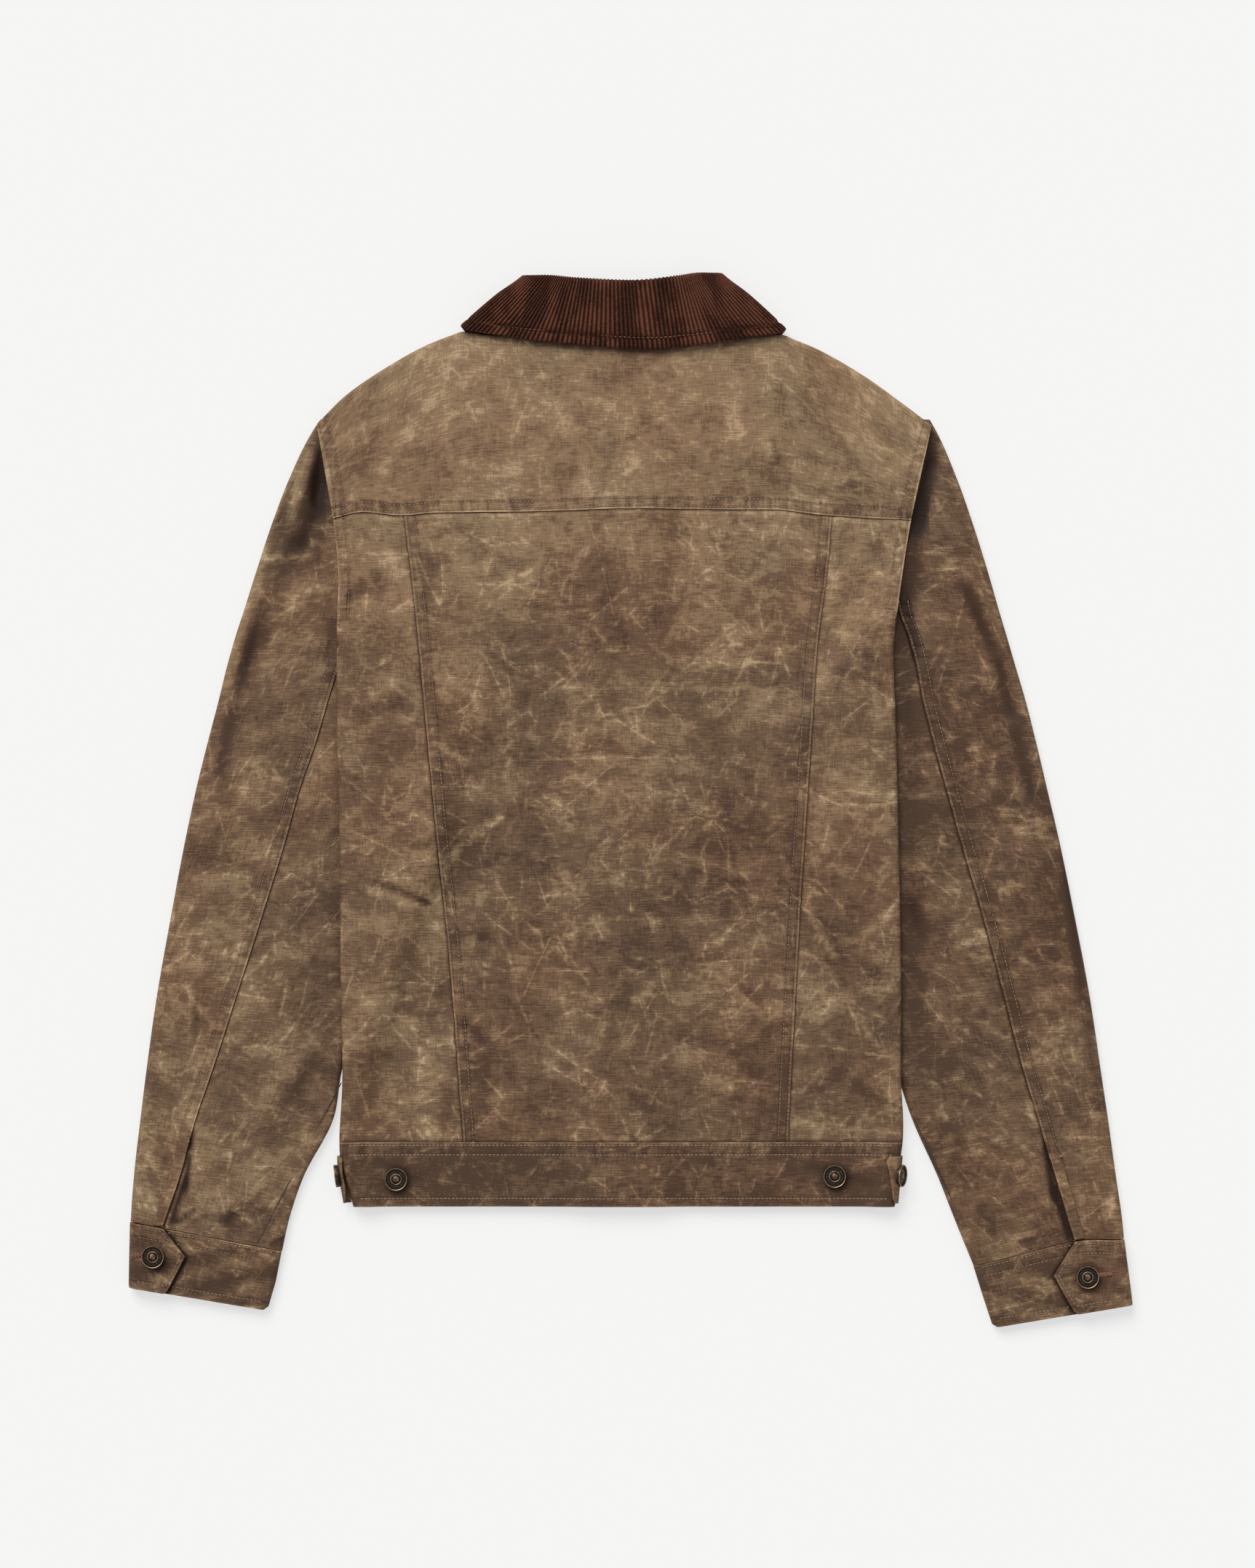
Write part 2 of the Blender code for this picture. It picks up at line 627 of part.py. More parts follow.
def waistband_back():
    low_steps = (WRAP, 36.0, 28.0, 22.0, 16.0, 10.0)
    top_steps = (10.0, 16.0, 22.0, 28.0, 36.0, 60.0, 110.0, 160.0, 186.0, 204.0)
    outer, inner = [], []
    for y in WAIST_LEVELS:
        left_over, left_under = waist_side("left", y, 0.0, DOUBLED, low_steps, top_steps)
        right_over, right_under = waist_side("right", y, 0.0, DOUBLED, low_steps, top_steps)
        outer.append(left_over + right_over[::-1])
        inner.append(left_under + right_under[::-1])
    return wall("waistband_back", np.array(outer), np.array(inner))


def waistband_front(side):
    sign = SIGN[side]
    y = np.array(WAIST_LEVELS)[:, None]
    start = CENTRE_X + sign * SEAM_GAP / 2
    end = body_edge(side, y) - sign * (WRAP + SEAM_GAP)
    x = lerp(start, end, np.array([0.0, 0.16, 0.26, 0.36, 0.6, 1.0])[None, :])
    z = lift(x, y + 0 * x)
    return wall("waistband_front_" + side, stack(x, y, z), stack(x, y, z + DOUBLED))


def waist_tab(side):
    """A pointed strap that comes from the front round the side and ends just over the edge."""
    clear = 2 * LAYER_GAP
    thickness = TAB_LIFT - clear - TAB_SLACK
    outer, inner = [], []
    for y, share in zip(TAB_LEVELS, TAB_POINT):
        tip = 10.0 + TAB_OVER * share
        over, under = waist_side(side, y, clear + thickness, thickness, (TAB_UNDER,), (10.0, tip))
        outer.append(over)
        inner.append(under)
    return wall("waist_tab_" + side, np.array(outer), np.array(inner))


# ---------------------------------------------------------------- sleeves


def sleeve_section(side, part):
    """Outer and inner ends of one cut across the sleeve, and its length."""
    end_outer, end_inner = SLEEVE_END[side]
    outer_y = lerp(SLEEVE_TOP_Y, end_outer, part)
    inner_y = outer_y + (end_inner - end_outer) * smoothstep((part - SKEW_FROM) / (1.0 - SKEW_FROM))
    start = np.array([along(SLEEVE[side], "outer", outer_y), outer_y])
    stop = np.array([along(SLEEVE[side], "inner", inner_y), inner_y])
    return start, stop, float(np.linalg.norm(stop - start))


def sleeve_radius(part):
    """Radius of the fold at the sleeve's edges, smaller at the head."""
    return min(SLEEVE_THICK, HEAD_RADIUS[0] + HEAD_RADIUS[1] * part) / 2


def sleeve_cut(side, part, top_from, top_to, low_from, low_to, at_inner, columns):
    """Outer and inner points across one section, from its top layer round one edge to its lower layer.

    Distances run from the outer edge. The turn is at the outer edge, or at the inner one when at_inner is set.
    """
    start, stop, length = sleeve_section(side, part)
    run = (stop - start) / length
    radius = sleeve_radius(part)
    turn_at = length - radius if at_inner else radius
    way = 1.0 if at_inner else -1.0
    over, under = [], []
    for a in np.linspace(top_from, top_to, columns[0]):
        x, y = start + run * a
        z = lerp(2 * radius, float(sleeve_top(side, x, y)), smoothstep(abs(a - turn_at) / EDGE_EASE))
        over.append((x, y, z))
        under.append((x, y, z - CLOTH))
    x, y = start + run * turn_at
    for angle in np.radians([45, 90, 135]):
        out, up = math.sin(angle) * way, math.cos(angle)
        over.append((x + run[0] * out * radius, y + run[1] * out * radius, radius + up * radius))
        small = radius - CLOTH
        under.append((x + run[0] * out * small, y + run[1] * out * small, radius + up * small))
    for a in np.linspace(low_from, low_to, columns[1]):
        x, y = start + run * a
        over.append((x, y, 0.0))
        under.append((x, y, CLOTH))
    return over, under


def seam_distance(side, part):
    """Where the back seam crosses this section, as a distance from the outer edge."""
    start, stop, length = sleeve_section(side, part)
    seam = along(SLEEVE[side], "seam", lerp(start[1], stop[1], SEAM_PART))
    return abs(float(seam) - start[0]) * length / abs(stop[0] - start[0])


SLEEVE_PARTS = np.linspace(0.0, 1.0, 23)


def sleeve_upper(side):
    """The top sleeve: from the back seam out round the sleeve's outer edge to the front seam under it."""
    outer, inner = [], []
    for part in SLEEVE_PARTS:
        length = sleeve_section(side, part)[2]
        seam = min(seam_distance(side, part) - SEAM_GAP / 2, length)
        radius = sleeve_radius(part)
        over, under = sleeve_cut(side, part, seam, radius, radius, seam, False, (9, 4))
        outer.append(over)
        inner.append(under)
    return wall("sleeve_top_" + side, np.array(outer), np.array(inner))


def sleeve_lower(side):
    """The under sleeve: from the back seam in round the sleeve's inner edge to the front seam under it."""
    first = (SLEEVE_TOP_Y - UNDER_TOP_Y[side]) / (SLEEVE_TOP_Y - SLEEVE_END[side][0])
    outer, inner = [], []
    for part in SLEEVE_PARTS[SLEEVE_PARTS > first]:
        length = sleeve_section(side, part)[2]
        seam = seam_distance(side, part) + SEAM_GAP / 2
        radius = sleeve_radius(part)
        over, under = sleeve_cut(side, part, seam, length - radius, length - radius, seam, True, (5, 3))
        outer.append(over)
        inner.append(under)
    return wall("sleeve_under_" + side, np.array(outer), np.array(inner))


def vent_placket(side):
    """The bound edge of the sleeve's opening above the cuff."""
    outer, inner = [], []
    for part in np.linspace(*VENT["parts"], 6):
        start, stop, length = sleeve_section(side, part)
        run = (stop - start) / length
        seam = seam_distance(side, part) - SEAM_GAP / 2
        row = []
        for a in (seam - VENT["width"], seam - LAYER_GAP):
            x, y = start + run * a
            row.append((x, y, float(sleeve_top(side, x, y)) + LAYER_GAP))
        outer.append([(x, y, z + VENT["thickness"]) for x, y, z in row])
        inner.append(row)
    return wall("sleeve_placket_" + side, np.array(outer), np.array(inner))


def cuff_path(length, reach):
    """One section of a cuff's outer face, from its lower end round the wrist to its pointed end on top.

    Each entry is distance from the outer edge, height, and the way from there to the inner face.
    """
    lap_top = CUFF_THICK + DOUBLED + SEAM_GAP
    under_top = CUFF_THICK - LAYER_GAP
    low_radius, high_radius = under_top / 2, lap_top / 2
    turns = np.radians(np.linspace(0, 180, 6))
    inner_turn = length - low_radius
    path = [(a, under_top, 0.0, -1.0) for a in np.linspace(reach - CUFF_LAP, inner_turn, 6)[:-1]]
    for out, up in zip(np.sin(turns), np.cos(turns)):
        path.append((inner_turn + low_radius * out, low_radius * (1 + up), -out, -up))
    path += [(a, 0.0, 0.0, 1.0) for a in np.linspace(inner_turn, high_radius, 4)[1:-1]]
    for out, up in zip(np.sin(turns), np.cos(turns)):
        path.append((high_radius * (1 - out), high_radius * (1 - up), out, up))
    path += [(a, lap_top, 0.0, -1.0) for a in np.linspace(high_radius, reach, 5)[1:]]
    return path


def cuff(side):
    """A double band round the wrist whose pointed end laps over its other end."""
    data = CUFF[side]
    outer, inner = [], []
    for part in np.linspace(0.0, 1.0, 5):
        corners = [np.interp(part, data["part"], data[name]) for name in list(data)[1:]]
        start, stop, reach = np.array(corners[:2]), np.array(corners[2:4]), corners[4]
        length = np.linalg.norm(stop - start)
        run = (stop - start) / length
        over, under = [], []
        for a, z, in_a, in_z in cuff_path(length, reach):
            over.append((*(start + run * a), z))
            under.append((*(start + run * (a + in_a * DOUBLED)), z + in_z * DOUBLED))
        outer.append(over)
        inner.append(under)
    return wall("cuff_" + side, np.array(outer), np.array(inner))


# ---------------------------------------------------------------- collar


def collar_stations():
    """Columns along the collar: plain ones under the garment and round its sides, two for each wale on top."""
    count = len(COLLAR["turn"])
    low = np.linspace(0.0, 3.0, 7)
    side = np.linspace(3.0, 4.0, 7)[1:-1]
    edge_x = COLLAR["edge_x"][4:11]
    top = np.interp(np.linspace(edge_x[0], edge_x[-1], 2 * WALES + 1), edge_x, np.arange(4.0, 11.0))
    half = np.concatenate([low, side])
    return np.concatenate([half, top, (count - 1) - half[::-1]])


def collar_frames():
    """For each column: fold point, edge point, outward normal at both, and the share of a full wale."""
    at = collar_stations()
    knots = np.arange(len(COLLAR["turn"]), dtype=float)
    parts = {}
    for name in COLLAR:
        pieces = [np.interp(at, knots, COLLAR[name])]
        if name != "turn":
            for first, last in ((0, 3), (4, 10), (11, 14)):
                span = slice(first, last + 1)
                pieces.append(hermite(knots[span], COLLAR[name][span], at))
        line = pieces[0].copy()
        for piece, (first, last) in zip(pieces[1:], ((0, 3), (4, 10), (11, 14))):
            inside = (at >= first) & (at <= last)
            line[inside] = piece[inside]
        parts[name] = line
    return at, parts


def collar_fall():
    """The collar's outer leaf with its fold. Wales are raised in the outer points over a plain inside."""
    at, p = collar_frames()
    high = {end: (COLLAR["fold_z"][at_end], COLLAR["edge_z"][at_end]) for end, at_end in ((3, 4), (10, 10))}
    first_wale = int(np.searchsorted(at, 4.0))
    outer, inner = [], []
    for i, station in enumerate(at):
        fold = np.array([p["fold_x"][i], p["fold_y"][i], p["fold_z"][i]])
        edge = np.array([p["edge_x"][i], p["edge_y"][i], p["edge_z"][i]])
        along_leaf = (fold - edge)[:2] / np.linalg.norm((fold - edge)[:2])
        lean = 1.0 if station < 7 else -1.0
        outward = np.array([-along_leaf[1] * lean, along_leaf[0] * lean, 0.0])
        turn = math.radians(p["turn"][i])
        normal = np.array([0.0, 0.0, 1.0]) * math.cos(turn) + outward * math.sin(turn)
        rolling = 3.0 < station < 4.0 or 10.0 < station < 11.0
        if rolling:
            tops = high[3 if station < 4.0 else 10]
            radii = (tops[0] / 2, tops[1] / 2)
            fold = fold * (1, 1, 0) + (0, 0, radii[0]) + normal * radii[0]
            edge = edge * (1, 1, 0) + (0, 0, radii[1]) + normal * radii[1]
        wale = WALE_RISE if 4.0 < station < 10.0 and (i - first_wale) % 2 else 0.0
        fold_wale = wale * float(smoothstep((3.0 - abs(station - 7.0)) / WALE_FADE))
        up = np.array([along_leaf[0], along_leaf[1], 0.0])
        centre = fold - normal * COLLAR_FOLD_RADIUS
        over = [edge + normal * wale, lerp(edge, fold, 0.5) + normal * lerp(wale, fold_wale, 0.5)]
        under = [edge - normal * CORDUROY]
        for angle in np.radians([0, 50, 100, 150]):
            away = normal * math.cos(angle) + up * math.sin(angle)
            over.append(centre + away * (COLLAR_FOLD_RADIUS + fold_wale * math.cos(angle / 2)))
        for angle in np.radians([0, 150]):
            away = normal * math.cos(angle) + up * math.sin(angle)
            under.append(centre + away * (COLLAR_FOLD_RADIUS - CORDUROY))
        outer.append(over)
        inner.append(under)
    return wall("collar_fall", np.array(outer), np.array(inner), "corduroy")


def collar_stand():
    """The inner leaf on the back: from just inside the fold down to the neck seam on the yoke."""
    at = np.linspace(4.6, 9.4, 20)
    knots = np.arange(len(COLLAR["turn"]), dtype=float)
    fold_x, fold_y = (np.interp(at, knots, COLLAR[c]) for c in ("fold_x", "fold_y"))
    fold_z = np.interp(at, knots, COLLAR["fold_z"])
    neck_y = hermite(YOKE["top_x"][6:11], YOKE["top_y"][6:11], fold_x) - TUCK / 2
    part = np.linspace(0.0, 1.0, 5)[None, :]
    y = lerp((fold_y - 1.0)[:, None], neck_y[:, None], part)
    x = fold_x[:, None] + 0 * part
    high = (fold_z - 2 * COLLAR_FOLD_RADIUS - LAYER_GAP)[:, None]
    low = back_top(x[:, -1:], neck_y[:, None]) + LAYER_GAP + CLOTH
    z = lerp(high, low, part)
    return wall("collar_stand", stack(x, y, z), stack(x, y, z - CLOTH), "corduroy")


# ---------------------------------------------------------------- buttons


def turned(name, profile, steps, place, tilt=0.0, yaw=0.0):
    """A button turned from (radius, height) pairs, listed from the top of its axis to the bottom."""
    mesh = bpy.data.meshes.new(name)
    points = [(r * MM, 0.0, h * MM) for r, h in profile]
    mesh.from_pydata(points, [(i, i + 1) for i in range(len(points) - 1)], [])
    obj = jacket_object(name, mesh)
    screw = obj.modifiers.new("turn", "SCREW")
    screw.steps = screw.render_steps = steps
    screw.use_merge_vertices = True
    screw.merge_threshold = 0.00002
    obj.location = tuple((np.array(place) + FOOTPRINT_SHIFT) * MM)
    obj.rotation_euler = (0.0, tilt, yaw)
    return finish_object(obj, "antique_brass")


def tack_button(name, place, tilt=0.0, yaw=0.0):
    """A raised rim round a sunk ring, with a domed stud in the middle."""
    return turned(name, zip(*TACK_BUTTON.values()), 16, place, tilt, yaw)


def seat_height(x, y):
    """Highest point of the garment's underside below a button at this place."""
    turn = np.linspace(0.0, 2 * math.pi, 13)
    return float(np.max(lift(x + BUTTON_RADIUS * np.cos(turn), y + BUTTON_RADIUS * np.sin(turn))))


def buttons():
    for side, (x, y) in BACK_BUTTON.items():
        tack_button("waist_button_" + side, (x, y, seat_height(x, y) + WAIST_THICK + LAYER_GAP))
    for side, (x, y) in CUFF_BUTTON.items():
        tack_button("cuff_button_" + side, (x, y, CUFF_THICK + DOUBLED + SEAM_GAP + LAYER_GAP))
    for side, sign in SIGN.items():
        high, low = TAB_LEVELS[0], TAB_LEVELS[-1]
        y = lerp(high, low, TAB_BUTTON_PART)
        out = float(body_edge(side, y)) + sign * (TAB_LIFT + LAYER_GAP)
        yaw = -math.atan(float(body_edge(side, low) - body_edge(side, high)) / (low - high))
        tack_button("tab_button_" + side, (out, y, BUTTON_RADIUS + LAYER_GAP), sign * math.pi / 2, yaw)
    for number in range(FRONT_BUTTONS):
        y = lerp(*FRONT_BUTTONS_Y, number / (FRONT_BUTTONS - 1))
        turned(f"front_button_{number + 1}", zip(*FRONT_BUTTON.values()), 14, (CENTRE_X, y, 0.0))


clear_scene()
JACKET = bpy.data.collections.new("waxed_cotton_jacket")
bpy.context.scene.collection.children.link(JACKET)
yoke()
back_centre()
front_placket()
waistband_back()
collar_fall()
collar_stand()
for each_side in SIGN:
    side_panel(each_side)
    front(each_side)
    waistband_front(each_side)
    waist_tab(each_side)
    sleeve_upper(each_side)
    sleeve_lower(each_side)
    vent_placket(each_side)
    cuff(each_side)
buttons()
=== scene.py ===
# %% [markdown]
# # A waxed cotton trucker jacket, laid flat on its front
#
# The jacket lies back up: yoke, back panels, waistband, two-piece sleeves, pointed cuffs and a corduroy collar.
# The CAD frame gives every part's place. This lesson puts a finer piece of cloth over each plain one: a thin
# closed wall whose face is worked out as a function of two parameters, with its folds, seams and stitches.
# +X runs across the jacket, +Y runs from the hem to the collar, and it rests on z = 0.

# %% The frame
import math

import bpy
import numpy as np
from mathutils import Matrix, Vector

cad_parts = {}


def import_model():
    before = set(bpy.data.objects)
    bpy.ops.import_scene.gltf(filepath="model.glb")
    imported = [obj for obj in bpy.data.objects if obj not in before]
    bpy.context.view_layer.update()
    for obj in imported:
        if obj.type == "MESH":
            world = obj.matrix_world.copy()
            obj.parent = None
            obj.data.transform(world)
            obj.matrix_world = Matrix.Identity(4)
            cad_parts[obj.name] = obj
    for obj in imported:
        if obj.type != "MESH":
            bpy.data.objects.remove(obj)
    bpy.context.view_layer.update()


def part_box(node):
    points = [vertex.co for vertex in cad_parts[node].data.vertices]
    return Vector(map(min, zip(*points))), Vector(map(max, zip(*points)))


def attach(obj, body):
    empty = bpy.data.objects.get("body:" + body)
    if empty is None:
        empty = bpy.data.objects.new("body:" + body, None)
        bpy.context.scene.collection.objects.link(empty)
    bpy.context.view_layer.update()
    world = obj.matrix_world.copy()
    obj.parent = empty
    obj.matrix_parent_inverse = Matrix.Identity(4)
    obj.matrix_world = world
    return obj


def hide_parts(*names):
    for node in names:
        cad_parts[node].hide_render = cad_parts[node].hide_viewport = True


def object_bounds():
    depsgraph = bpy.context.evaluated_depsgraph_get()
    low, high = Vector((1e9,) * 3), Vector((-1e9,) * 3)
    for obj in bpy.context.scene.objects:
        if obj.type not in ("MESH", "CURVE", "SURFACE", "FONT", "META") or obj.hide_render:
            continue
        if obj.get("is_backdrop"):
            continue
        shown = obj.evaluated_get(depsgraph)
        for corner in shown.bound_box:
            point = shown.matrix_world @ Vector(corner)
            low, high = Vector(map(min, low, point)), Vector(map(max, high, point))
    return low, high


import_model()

# %% [markdown]
# ## Numbers first
#
# Patterns for clothes are drawn in millimetres, so the tables here are too, and the last step makes metres.
# A curve through a few measured points is enough for an edge: this one is cubic between its points.

# %% Small helpers
MM = 0.001
SHIFT = np.array([-0.6, 0.0, 0.0])  # the frame's own offset of the whole jacket, in millimetres
SIGN = {"left": -1.0, "right": 1.0}


def smoothstep(t):
    """0 below t = 0, 1 above t = 1, and 3t^2 - 2t^3 between them."""
    t = np.clip(t, 0.0, 1.0)
    return t * t * (3.0 - 2.0 * t)


def after(d, start, run):
    """0 up to the start, eased to 1 over the run."""
    return smoothstep((d - start) / run)


def before(d, start, run):
    """1 up to the start, eased to 0 over the run."""
    return 1.0 - after(d, start, run)


def lerp(a, b, t):
    return a + (b - a) * t


def bell(d, width):
    """exp(-(d / width)^2): 1 on the line, next to nothing two widths away."""
    return np.exp(-((d / width) ** 2))


def table(columns, *rows):
    """Rows under named columns, as one array for each column name."""
    return dict(zip(columns.split(), np.array(rows, float).T))


def hermite(knots, values, at):
    """A cubic between each two knots, with slopes taken across each knot."""
    knots, values, at = np.asarray(knots, float), np.asarray(values, float), np.asarray(at, float)
    if knots[0] > knots[-1]:
        knots, values = knots[::-1], values[::-1]
    slopes = np.gradient(values, knots)
    at = np.clip(at, knots[0], knots[-1])
    i = np.clip(np.searchsorted(knots, at) - 1, 0, len(knots) - 2)
    span = knots[i + 1] - knots[i]
    t = (at - knots[i]) / span
    rise = t * t * (3 - 2 * t)
    slope = slopes[i] * span * t * (1 - t) ** 2 - slopes[i + 1] * span * t * t * (1 - t)
    return values[i] * (1 - rise) + values[i + 1] * rise + slope


def along(rows, name, y):
    """A column of a table of edges, at the height y."""
    return hermite(rows["y"], rows[name], y)


def stack(x, y, z):
    """Points from their three coordinates."""
    return np.stack(np.broadcast_arrays(x, y, z), axis=-1).astype(float)


def with_z(xy, z):
    return np.concatenate([xy, z[..., None]], axis=-1)


def spaced(length, edge, fine, coarse):
    """Distances from 0 to length: fine cells up to `edge` from both ends, coarse ones between."""
    near = np.arange(0.0, edge, fine)
    count = max(2, int(round((length - 2 * edge) / coarse)) + 1)
    middle = np.linspace(edge, length - edge, count)
    return np.concatenate([near, middle, length - near[::-1]]) / length


def linked(name, data):
    """A new object with its data in the scene."""
    made = bpy.data.objects.new(name, data)
    bpy.context.scene.collection.objects.link(made)
    return made


def new_material(name, values):
    """A material, its node tree and its shader, with the given values on the shader's own sockets."""
    made = bpy.data.materials.new(name)
    made.use_nodes = True
    shader = made.node_tree.nodes["Principled BSDF"]
    for socket, value in values.items():
        shader.inputs[socket].default_value = value
    return made, made.node_tree, shader


# %% [markdown]
# ## Camera, floor and light
#
# The jacket is seen from straight above. A long lens keeps its sides parallel. The light of a product table is a
# big soft box above the collar, a little to the left, with white walls all round that fill the shadows.

# %% Camera
LENS, SENSOR = 100.0, 36.0
FRAME_LONG_SIDE = 1.1815  # metres that the long side of the picture covers at the jacket's height
JACKET_MIDDLE_Z = 0.008
CAMERA_OVER = (-0.0025, 0.0121)

camera = linked("camera", bpy.data.cameras.new("camera"))
camera.data.lens = LENS
camera.data.sensor_width = SENSOR
camera.location = (*CAMERA_OVER, JACKET_MIDDLE_Z + FRAME_LONG_SIDE * LENS / SENSOR)
camera.data.clip_end = 50.0
bpy.context.scene.camera = camera
bpy.context.scene.view_settings.view_transform = "Standard"
print("camera height", round(camera.location.z, 3), "m")

# %% Light
ROOM_COLOUR, ROOM_STRENGTH = (0.985, 0.99, 1.0, 1.0), 0.50
KEY_COLOUR, KEY_STRENGTH, KEY_SPREAD = (1.0, 0.985, 0.95), 2.7, 38.0
KEY_FROM = (-0.42, 0.86, 0.86)  # towards the light: above the collar and a little to the left

world = bpy.data.worlds.new("white_room")
world.use_nodes = True
world.node_tree.nodes["Background"].inputs["Color"].default_value = ROOM_COLOUR
world.node_tree.nodes["Background"].inputs["Strength"].default_value = ROOM_STRENGTH
bpy.context.scene.world = world

key = bpy.data.lights.new("key", "SUN")
key.energy, key.color, key.angle = KEY_STRENGTH, KEY_COLOUR, math.radians(KEY_SPREAD)
key_light = linked("key", key)
tilt = math.atan2(math.hypot(*KEY_FROM[:2]), KEY_FROM[2])
turn = math.atan2(-KEY_FROM[1], -KEY_FROM[0])
key_light.rotation_mode = "QUATERNION"
axis = (math.sin(turn), -math.cos(turn), 0.0)
key_light.rotation_quaternion = (math.cos(tilt / 2), *(a * math.sin(tilt / 2) for a in axis))
print("the key light comes", round(math.degrees(tilt)), "degrees off the upright")

# %% [markdown]
# The floor is a white sheet lit from below as well, as a product table is. So it stays even and its shadows are pale.

# %% Floor
GLOW, WHITE, FLOOR_HALF = 0.60, 0.30, 6
corners = [(FLOOR_HALF * x, FLOOR_HALF * y, 0) for x, y in ((-1, -1), (1, -1), (1, 1), (-1, 1))]
floor_mesh = bpy.data.meshes.new("floor")
floor_mesh.from_pydata(corners, [], [(0, 1, 2, 3)])
floor = linked("floor", floor_mesh)
floor_look = {
    "Base Color": (WHITE, WHITE, WHITE, 1.0),
    "Roughness": 0.9,
    "Specular IOR Level": 0.0,
    "Emission Color": (1.0, 1.0, 1.0, 1.0),
    "Emission Strength": GLOW,
}
floor_mesh.materials.append(new_material("lit_white", floor_look)[0])
floor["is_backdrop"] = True
print("floor", 2 * FLOOR_HALF, "m across")

# %% [markdown]
# ## The pattern's lines
#
# These are the edges and seams of the laid jacket: the back with its armholes and sides, the sleeves, the yoke,
# the cuffs and the collar. Each is a short table of points up the garment. The frame's solids come from the same
# lines, so a piece drawn from them lies exactly where its solid does.

# %% Tables of edges and seams
CLOTH = 2.0
DOUBLED = 3.0
CORDUROY = 2.4
SEAM_GAP = 0.3
LAYER_GAP = 0.4
TUCK = 5.0
BODY_THICK = 7.5
SLEEVE_THICK = 7.4
SLEEVE_LIFT = 8.2
PLACKET_LIFT = 3.0
COLLAR_LIFT = 3.2
TAB_LIFT = 3.6
LIFT_RAMP = 26.0
BACK_TOP_Y = 213.0  # the top of the side panels, under the yoke
WAIST_SEAM_Y = -257.5
HEM_Y = -306.3
TAB_TOP_Y, TAB_LOW_Y = -268.0, -303.5
CENTRE_X = -7.0
PLACKET_HALF = 21.0
WRAP = 48.0
WAIST_THICK = 8.5
HIDDEN_WRAP = 0.4

BODY = table(
    "y left_edge left_seam right_seam right_edge",
    (284, -236.5, -177, 158, 229.0), (250, -227.5, -173, 155, 219.5), (213, -223.5, -170, 152, 211.8),
    (170, -219.5, -165, 148.5, 205.0), (127, -220.5, -160.5, 142.5, 199.2), (55, -220.6, -153.5, 137, 200.2),
    (-30, -218.6, -145.5, 131.5, 202.3), (-135, -217.8, -135, 125.5, 204.0), (-215, -216.6, -129, 121.3, 204.2),
    (-258, -219.0, -126, 119.5, 205.4), (-267, -218.6, -126, 119.3, 204.2), (-307, -208.2, -124, 118, 199.4),
)
SLEEVE = {
    "left": table(
        "y outer inner seam",
        (289, -232.4, -227.0, -227.0), (281, -237.8, -231.0, -231.0), (241, -257.6, -221.0, -221.0),
        (208, -270.2, -218.0, -218.0), (175, -281.1, -214.8, -214.8), (142, -291.5, -214.6, -214.6),
        (122, -298.0, -209.0, -215.5), (100, -304.2, -187.0, -220.0), (77, -309.8, -170.0, -227.0),
        (44, -318.4, -156.0, -236.5), (11, -326.6, -153.0, -248.0), (-30, -335.4, -160.0, -259.5),
        (-88, -346.3, -178.0, -277.5), (-150, -357.2, -199.0, -297.5), (-205, -364.9, -217.4, -315.3),
        (-240, -369.2, -223.5, -327.0), (-285, -374.3, -246.5, -339.0), (-318, -376.6, -257.5, -350.0),
        (-341, -377.2, -262.5, -357.0),
    ),
    "right": table(
        "y outer inner seam",
        (289, 225.0, 219.5, 219.5), (281, 229.6, 223.2, 223.2), (241, 247.1, 212.5, 212.5),
        (208, 258.7, 206.0, 206.0), (175, 269.1, 200.7, 200.7), (142, 278.6, 193.5, 203.0),
        (122, 284.6, 183.0, 210.5), (100, 291.0, 166.0, 216.0), (77, 297.8, 152.0, 220.3),
        (44, 306.2, 139.0, 228.5), (11, 314.0, 137.0, 237.5), (-30, 323.6, 147.0, 249.0),
        (-88, 335.4, 165.0, 266.0), (-150, 347.0, 186.0, 282.5), (-205, 355.2, 201.0, 297.0),
        (-240, 360.4, 212.5, 307.5), (-285, 366.6, 232.5, 320.5), (-318, 371.3, 245.5, 329.5),
        (-351, 374.0, 259.0, 338.5),
    ),
}
YOKE = table(
    "low_x low_y top_x top_y wrap",
    (-223.5, 213.5, -235.5, 284.0, HIDDEN_WRAP),
    (-206, 218.0, -214, 305.5, 12),
    (-173, 216.0, -186, 325.0, 15),
    (-146, 218.0, -157, 341.5, 15),
    (-124, 218.4, -134, 350.8, 15),
    (-112, 218.6, -124.5, 353.0, HIDDEN_WRAP),
    (-85, 218.8, -101, 350.0, HIDDEN_WRAP),
    (-45, 219.8, -55, 349.5, HIDDEN_WRAP),
    (0, 221.2, 0, 348.0, HIDDEN_WRAP),
    (45, 220.8, 52, 349.0, HIDDEN_WRAP),
    (80, 220.5, 91, 350.0, HIDDEN_WRAP),
    (100, 220.4, 113.9, 350.6, HIDDEN_WRAP),
    (112, 220.2, 123.5, 347.4, 15),
    (138, 217.0, 146, 337.8, 15),
    (165, 215.0, 178, 319.0, 15),
    (190, 213.5, 205, 299.5, 12),
    (211.5, 212.3, 226.5, 283.0, HIDDEN_WRAP),
)
CUFF = {
    "left": table(
        "part outer_x outer_y inner_x inner_y",
        (0.00, -376.9, -318.2, -262.6, -340.2),
        (0.50, -377.5, -343.0, -267.0, -363.0),
        (0.94, -377.9, -364.6, -272.6, -382.0),
        (1.00, -377.6, -367.3, -276.0, -384.4),
    ),
    "right": table(
        "part outer_x outer_y inner_x inner_y",
        (0.00, 372.6, -331.6, 258.8, -351.0),
        (0.50, 375.8, -355.5, 265.8, -373.5),
        (0.94, 378.6, -377.6, 273.0, -395.2),
        (1.00, 378.8, -380.3, 276.6, -397.4),
    ),
}
